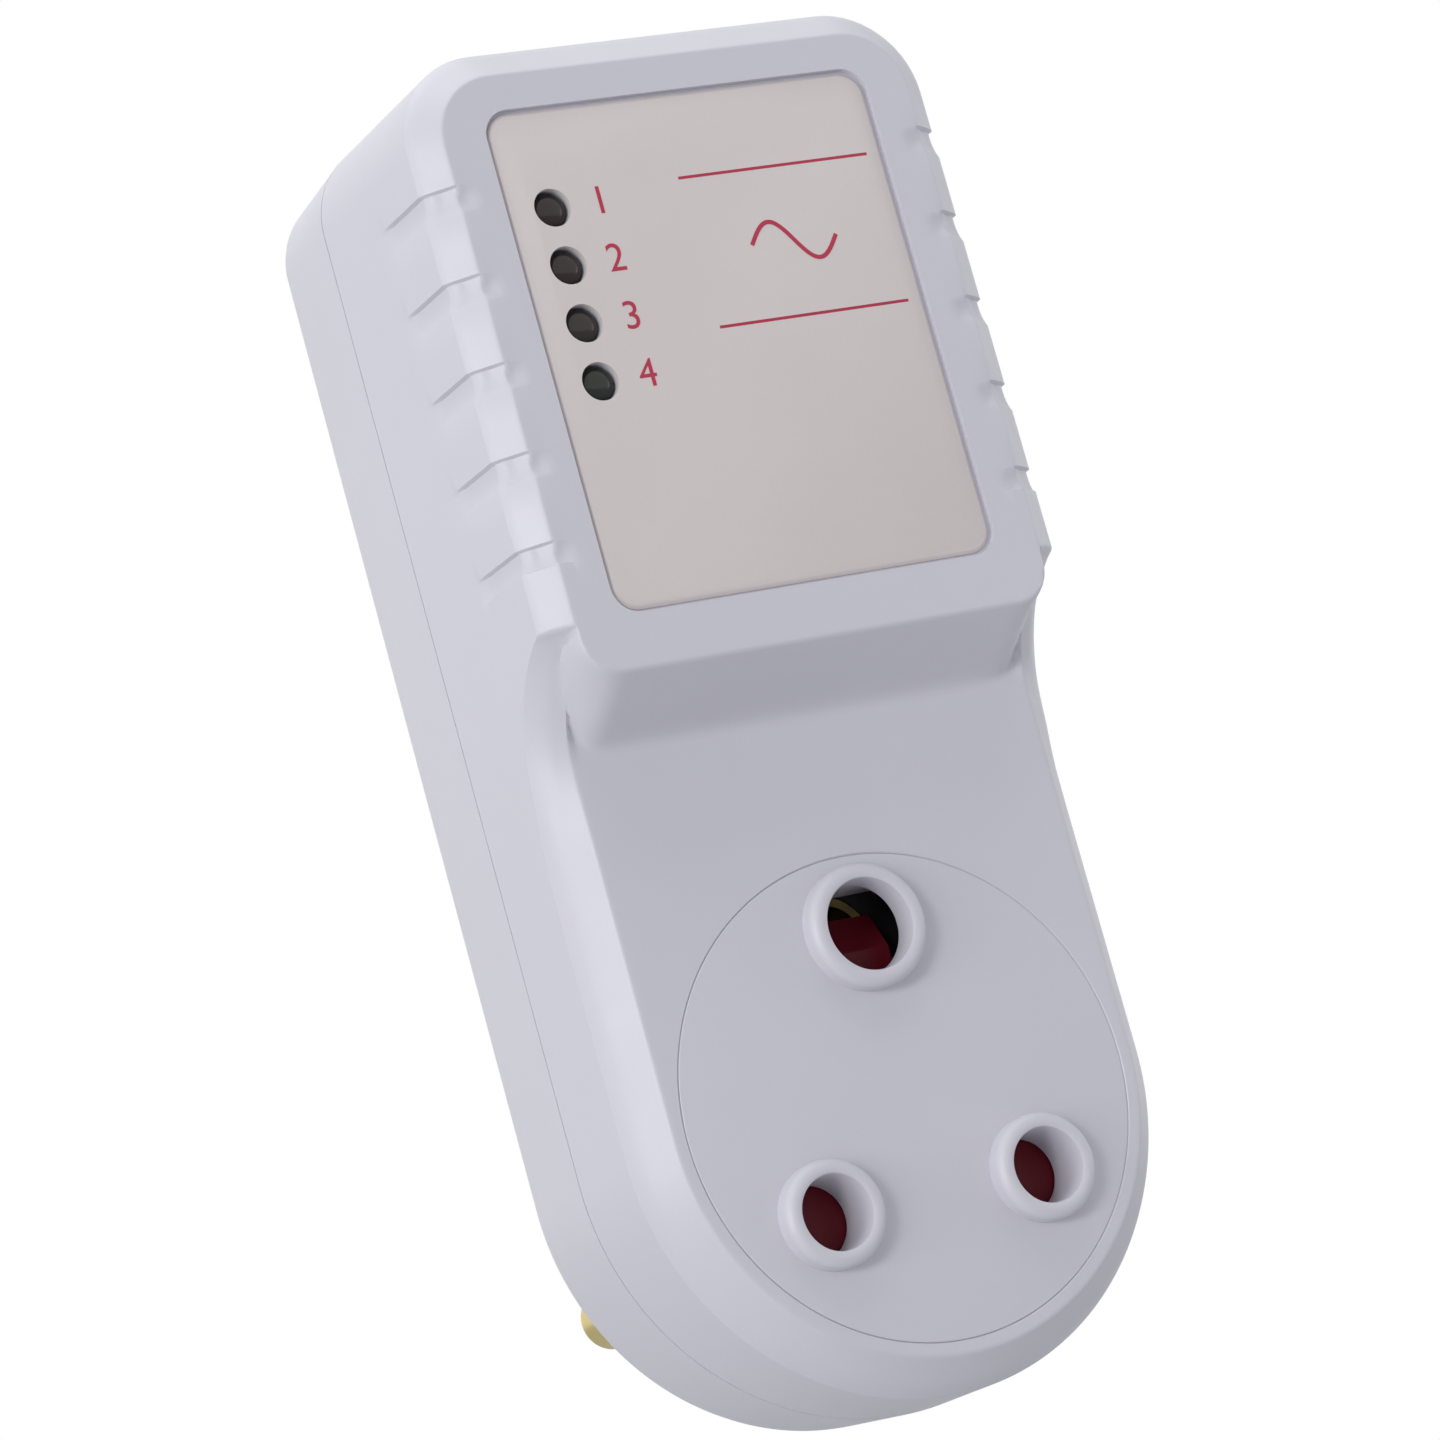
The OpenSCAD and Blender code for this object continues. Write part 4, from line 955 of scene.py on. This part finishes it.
# %% Satin plastic
def satin_plastic(name, base, rough, grain=0.25, tone=0.03, gloss=0.5):
    finish = Finish(name)
    waves = finish.noise(22, 2)
    handling = finish.noise(140, 4, 0.6)
    fine = finish.noise(3200, 2)
    tinted = finish.mix(waves, shade(base, 1 - tone), shade(base, 1 + tone))
    speckled = finish.mix(fine * 0.12, tinted, shade(base, 0.88))
    roughness = rough + (handling - 0.5) * 0.16 + (waves - 0.5) * 0.08
    relief = fine * 0.7 + handling * 0.3
    return finish.surface(Base_Color=speckled, Roughness=roughness, IOR=1.5, Specular_IOR_Level=gloss,
                          Normal=finish.bump(relief, grain, 0.00004))


white = satin_plastic("white_satin_plastic", colour(208, 207, 216), 0.42)
red = satin_plastic("dark_red_plastic", colour(100, 14, 28), 0.4, gloss=0.2)
black = satin_plastic("black_plastic", colour(36, 36, 38), 0.45)
relay_blue = satin_plastic("relay_blue_plastic", colour(48, 92, 160), 0.3)
print("satin plastics ready")

# %% [markdown]
# The label is a printed film, flat and slightly warm, with two thin dark red lines across it. The lines are
# masks worked out from the position, since they are part of the film and have no thickness. Numbers stand
# beside the lamps, and those are real type, added further down.

# %% Printed label film
PRINT_RED = colour(172, 42, 70)
LINE_ENDS = (-2.2, 20.8)
LINE_HEIGHTS = (109.1, 92.4)
LINE_THICK = 0.34


def label_film():
    finish = Finish("label_film")
    x = finish.axis("X") * (1 / MM)
    z = finish.axis("Z") * (1 / MM)
    inside = (x > LINE_ENDS[0]) * (x < LINE_ENDS[1])
    upper_line, lower_line = [abs(z - height) < LINE_THICK / 2 for height in LINE_HEIGHTS]
    lines = (upper_line + lower_line) * inside
    film = finish.mix(finish.noise(60, 3), colour(214, 205, 204), colour(221, 213, 212))
    fibre = finish.noise(2600, 3)
    film = finish.mix(fibre * 0.15, film, colour(199, 189, 187))
    inked = finish.mix(lines, film, PRINT_RED)
    return finish.surface(Base_Color=inked, Roughness=0.5 + (fibre - 0.5) * 0.1,
                          Normal=finish.bump(fibre, 0.12, 0.00003))


film = label_film()
print("label film ready")

# %% [markdown]
# Brass and steel are metals whose gloss has a grain. Turned pins carry fine rings round their axis, which a
# noise stretched across the length gives, and both metals are a little duller where fingers have been.

# %% Metals
def turned_metal(name, base, rough, stretch, tone=0.12):
    finish = Finish(name)
    lying = finish.node("ShaderNodeMapping", None, {"Vector": finish.place, "Scale": stretch})
    rings = finish.noise(900, 2, at=lying)
    tarnish = finish.noise(170, 4, 0.65)
    tinted = finish.mix(tarnish, shade(base, 1 - tone), shade(base, 1 + tone))
    roughness = rough + (tarnish - 0.4) * 0.3 + (rings - 0.5) * 0.1
    return finish.surface(Base_Color=tinted, Metallic=1.0, Roughness=roughness,
                          Normal=finish.bump(rings, 0.15, 0.00002))


brass = turned_metal("turned_brass", colour(214, 196, 128), 0.26, (0.3, 4, 0.3))
steel = turned_metal("zinc_plated_steel", colour(196, 198, 202), 0.3, (0.4, 3, 0.4), 0.07)
copper = turned_metal("enamelled_copper", colour(186, 104, 58), 0.28, (6, 0.3, 6))
print("metals ready")

# %% [markdown]
# Only the red shutter and a pin's tip show in the photograph, but the part can be opened, so each inner piece
# has the finish of the real component: solder mask over copper tracks, epoxy dip, shrink sleeve, lacquered
# resistors with their colour rings and stranded wire in its insulation.

# %% Finishes of the inner parts
def solder_mask():
    finish = Finish("solder_mask")
    given = {"Vector": finish.place, "Scale": 260.0, "Mortar Size": 0.09}
    tracks = finish.node("ShaderNodeTexBrick", {"offset": 0.5}, given, "Fac")
    cloth = finish.noise(1500, 2)
    mask = finish.mix(finish.noise(70), colour(16, 92, 52), colour(22, 106, 60))
    mask = finish.mix(tracks * 0.6, mask, colour(36, 132, 78))
    return finish.surface(Base_Color=mask, Roughness=0.34 + cloth * 0.1,
                          Normal=finish.bump(tracks, 0.3, 0.00004))


def dipped(name, base, rough=0.24):
    finish = Finish(name)
    lumps = finish.noise(260, 3)
    tinted = finish.mix(lumps, shade(base, 0.9), shade(base, 1.1))
    return finish.surface(Base_Color=tinted, Roughness=rough + (lumps - 0.5) * 0.12, Coat_Weight=0.4,
                          Coat_Roughness=0.1, Normal=finish.bump(lumps, 0.3, 0.0001))


RINGS = ((-2.2, (120, 70, 30)), (-1.0, (24, 24, 24)), (0.2, (170, 40, 30)), (2.1, (190, 150, 60)))
RING_HALF = 0.28
RESISTOR_HALF = 3.2


def ringed_resistor(middle_x):
    finish = Finish("ringed_resistor")
    x = finish.axis("X") * (1 / MM)
    body = finish.mix(finish.noise(500), colour(206, 176, 130), colour(216, 188, 144))
    for offset, ring in RINGS:
        body = finish.mix(abs(x - (middle_x + offset)) < RING_HALF, body, colour(*ring))
    leads = abs(x - middle_x) > RESISTOR_HALF
    body = finish.mix(leads, body, colour(190, 190, 192))
    return finish.surface(Base_Color=body, Roughness=0.4, Metallic=leads)


def insulation(name, base):
    finish = Finish(name)
    strands = finish.noise(700, 2)
    tinted = finish.mix(strands, shade(base, 0.88), shade(base, 1.1))
    return finish.surface(Base_Color=tinted, Roughness=0.38 + (strands - 0.5) * 0.1,
                          Normal=finish.bump(strands, 0.2, 0.00005))


resistor_low, resistor_high = box_mm("resistors")
board_green = solder_mask()
varistor_blue = dipped("varistor_epoxy", colour(34, 92, 170))
capacitor_yellow = dipped("capacitor_case", colour(222, 188, 64), 0.3)
sleeve = dipped("capacitor_sleeve", colour(38, 48, 78), 0.32)
resistor = ringed_resistor((resistor_low.x + resistor_high.x) / 2)
brown = insulation("brown_insulation", colour(104, 60, 40))
blue = insulation("blue_insulation", colour(46, 84, 160))
print("inner finishes ready")

# %% [markdown]
# The lamps are off in the photograph: dark resin domes at the bottom of their holes, each with one small
# highlight. A smooth and deeply tinted resin gives that, and the tint tells the lamps apart up close.

# %% Lamp resin
def lamp_resin(name, base):
    finish = Finish(name)
    swirl = finish.noise(900, 2)
    tinted = finish.mix(swirl, shade(base, 0.8), shade(base, 1.2))
    return finish.surface(Base_Color=tinted, Roughness=0.1 + swirl * 0.06)


lamp_red = lamp_resin("lamp_resin_red", colour(34, 16, 17))
lamp_amber = lamp_resin("lamp_resin_amber", colour(34, 25, 16))
lamp_green = lamp_resin("lamp_resin_green", colour(18, 28, 20))
print("lamp resins ready")

# %% [markdown]
# The finishes are handed out by the record's material slots, so a CAD part that keeps its shape gets the
# finish of its slot, and the new pieces get the same ones.

# %% Hand out the finishes
BY_SLOT = {
    "white_plastic": white, "label": film, "red_plastic": red, "black_plastic": black, "brass": brass,
    "steel": steel, "board": board_green, "copper": copper, "relay_blue": relay_blue,
    "varistor_blue": varistor_blue, "capacitor_yellow": capacitor_yellow, "capacitor_sleeve": sleeve,
    "resistor": resistor, "lamp_red": lamp_red, "lamp_amber": lamp_amber, "lamp_green": lamp_green,
    "wire_brown": brown, "wire_blue": blue,
}


def give_finish(piece, material):
    piece.data.materials.clear()
    piece.data.materials.append(material)
    for polygon in piece.data.polygons:
        polygon.material_index = 0


for row in frame["record"]["subparts"]:
    give_finish(frame["nodes"][row["node"]], BY_SLOT[row["material_slot"]])
for piece, node in ((front, "front_cover"), (rear, "rear_cover"), (insert, "socket_insert")):
    give_finish(piece, white)
    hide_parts(node)
    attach(piece, "body")
for pin in pins:
    give_finish(pin, brass)
give_finish(spring, steel)
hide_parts("shutter_spring")
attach(spring, "body")
slide = next(joint for joint in frame["record"]["behaviour"]["joints"] if joint["name"] == "shutter_slide")
pressed = spring_length - slide["range_m"][1] / MM
pressed / spring_length
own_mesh(spring)
print("spring keeps", round(pressed / spring_length, 3), "of its length when the shutter is open")
give_finish(plate, film)
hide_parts("label_plate")
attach(plate, "body")
print(len(frame["nodes"]), "CAD parts have a finish")

# %% Screws in their places
def stand_screws(name, node, head_d, head_h, shank_d, columns, rows):
    low, high = box_mm(node)
    length = high.y - low.y - head_h
    screw = screw_mesh("one_screw", head_d, head_h, shank_d, length)
    holder = add_object(name, bpy.data.meshes.new(name))
    modifier = holder.modifiers.new("screws", "NODES")
    modifier.node_group = screw_tree
    given = {"Screw": screw, "Columns": columns, "Rows": rows, "Finish": steel,
             "Width": (high.x - low.x - head_d) * MM, "Height": (high.z - low.z - head_d) * MM,
             "Middle": Vector(((low.x + high.x) / 2, high.y - head_h, (low.z + high.z) / 2)) * MM}
    for item in screw_tree.interface.items_tree:
        if item.in_out == "INPUT" and item.name in given:
            modifier[item.identifier] = given[item.name]
    bake(holder)
    holder.data.name = name
    bpy.data.objects.remove(screw)
    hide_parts(node)
    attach(holder, "body")
    report(holder)


stand_screws("shell_screws", "cover_screws", 5.6, 2.2, 3, 2, 2)
stand_screws("screws_of_the_board", "board_screws", 4.2, 1.4, 2.2, 2, 2)
stand_screws("screws_of_the_carrier", "carrier_screws", 4.2, 1.4, 2.2, 2, 1)

# %% [markdown]
# Plain numbers stand beside the lamps and a plain sine wave, the common sign for alternating current, stands
# between the two lines. Type is first a font curve, then a mesh, because only a mesh can be exported. It
# stands three hundredths of a millimetre proud of the film, like ink.

# %% Numbers and wave on the label
INK = 0.03
NUMERAL_H = 4.4
NUMERAL_BESIDE = 5.6
WAVE_START, WAVE_L = 4.2, 10.2
WAVE_Z, WAVE_H = 100.75, 2.3
WAVE_HALF = 0.24


def numeral(text, x, z, height):
    curve = bpy.data.curves.new(f"numeral_{text}", "FONT")
    curve.body = text
    curve.size = height * MM
    curve.extrude = INK * MM / 2
    curve.align_x = "CENTER"
    curve.align_y = "CENTER"
    source = add_object("type", curve)
    mesh = evaluated_mesh(source)
    bpy.data.objects.remove(source)
    upright = Matrix.Rotation(math.pi / 2, 4, "X")
    mesh.transform(Matrix.Translation((x * MM, (plate_low.y - INK / 2) * MM, z * MM)) @ upright)
    finish_mesh(mesh)
    return add_object(f"numeral_{text}", mesh)


def ink_finish():
    finish = Finish("label_ink")
    grain = finish.noise(2400, 2)
    return finish.surface(Base_Color=finish.mix(grain, PRINT_RED, shade(PRINT_RED, 1.25)), Roughness=0.45)


upper, under = [], []
for t in [i / 48 for i in range(49)]:
    angle = math.tau * t
    x, z = WAVE_START + WAVE_L * t, WAVE_Z + WAVE_H * math.sin(angle)
    side = Vector((-WAVE_H * math.tau / WAVE_L * math.cos(angle), 1)).normalized() * WAVE_HALF
    upper.append((x + side.x, z + side.y))
    under.append((x - side.x, z - side.y))
wave = prism("wave_sign", under + upper[::-1], plate_low.y, plate_low.y - INK)
ink = ink_finish()
prints = [numeral(str(i + 1), LAMP_X + NUMERAL_BESIDE, z, NUMERAL_H) for i, z in enumerate(LAMP_HEIGHTS)]
prints.append(wave)
for piece in prints:
    give_finish(piece, ink)
    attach(piece, "body")
    report(piece)

# %% [markdown]
# The floor is plain and pale, and lies below the camera, which looks up at the object. The white background
# comes from the world: camera, glossy and transmission rays see plain white, and all other rays see the
# soft grey that lights the scene. Broad suns do the modelling, as in a light tent: the strongest from the
# left, one from above that lifts the bevel along the top and a weak one from the right. A smaller sun stands
# where the left bevel mirrors it to the camera.

# %% Floor, world and light
FLOOR_Z = -0.09
FLOOR_HALF = 3
sides = ((-1, -1), (1, -1), (1, 1), (-1, 1))
floor_corners = [(x * FLOOR_HALF, y * FLOOR_HALF, FLOOR_Z) for x, y in sides]
floor_mesh = bpy.data.meshes.new("floor")
floor_mesh.from_pydata(floor_corners, [], [(0, 1, 2, 3)])
floor = add_object("floor", floor_mesh)
paper = Finish("pale_floor")
paper_tint = paper.mix(paper.noise(8), colour(200, 200, 202), colour(206, 206, 208))
give_finish(floor, paper.surface(Base_Color=paper_tint, Roughness=0.8))

world = bpy.data.worlds.new("soft_white")
scene.world = world
world.use_nodes = True
tree = world.node_tree
tree.nodes.clear()
rays = tree.nodes.new("ShaderNodeLightPath").outputs


def larger(first, second):
    """The larger of two sockets of the world."""
    node = tree.nodes.new("ShaderNodeMath")
    node.operation = "MAXIMUM"
    tree.links.new(first, node.inputs[0])
    tree.links.new(second, node.inputs[1])
    return node.outputs[0]


def even_light(tint, strength):
    node = tree.nodes.new("ShaderNodeBackground")
    node.inputs["Color"].default_value = tint
    node.inputs["Strength"].default_value = strength
    return node.outputs[0]


seen = larger(larger(rays["Is Camera Ray"], rays["Is Glossy Ray"]), rays["Is Transmission Ray"])
choose = tree.nodes.new("ShaderNodeMixShader")
tree.links.new(seen, choose.inputs["Fac"])
tree.links.new(even_light(colour(250, 251, 255), 0.4), choose.inputs[1])
tree.links.new(even_light(colour(255, 255, 255), 1.0), choose.inputs[2])
world_end = tree.nodes.new("ShaderNodeOutputWorld")
tree.links.new(choose.outputs[0], world_end.inputs["Surface"])


def soft_sun(name, towards, energy, spread):
    """A sun whose light comes from the given direction and is spread over an angle in degrees."""
    data = bpy.data.lights.new(name, "SUN")
    data.energy = energy
    data.angle = math.radians(spread)
    add_object(name, data).matrix_world = Vector(towards).to_track_quat("Z", "Y").to_matrix().to_4x4()


soft_sun("left_sun", (-0.95, -0.3, -0.1), 1.9, 35)
soft_sun("bevel_sun", (-0.76, -0.62, 0.17), 0.8, 15)
soft_sun("top_sun", (0, -0.05, 1), 1.35, 60)
soft_sun("right_sun", (0.9, -0.1, -0.1), 0.75, 60)
scene.view_settings.view_transform = "Standard"
print("floor at", FLOOR_Z, "m")
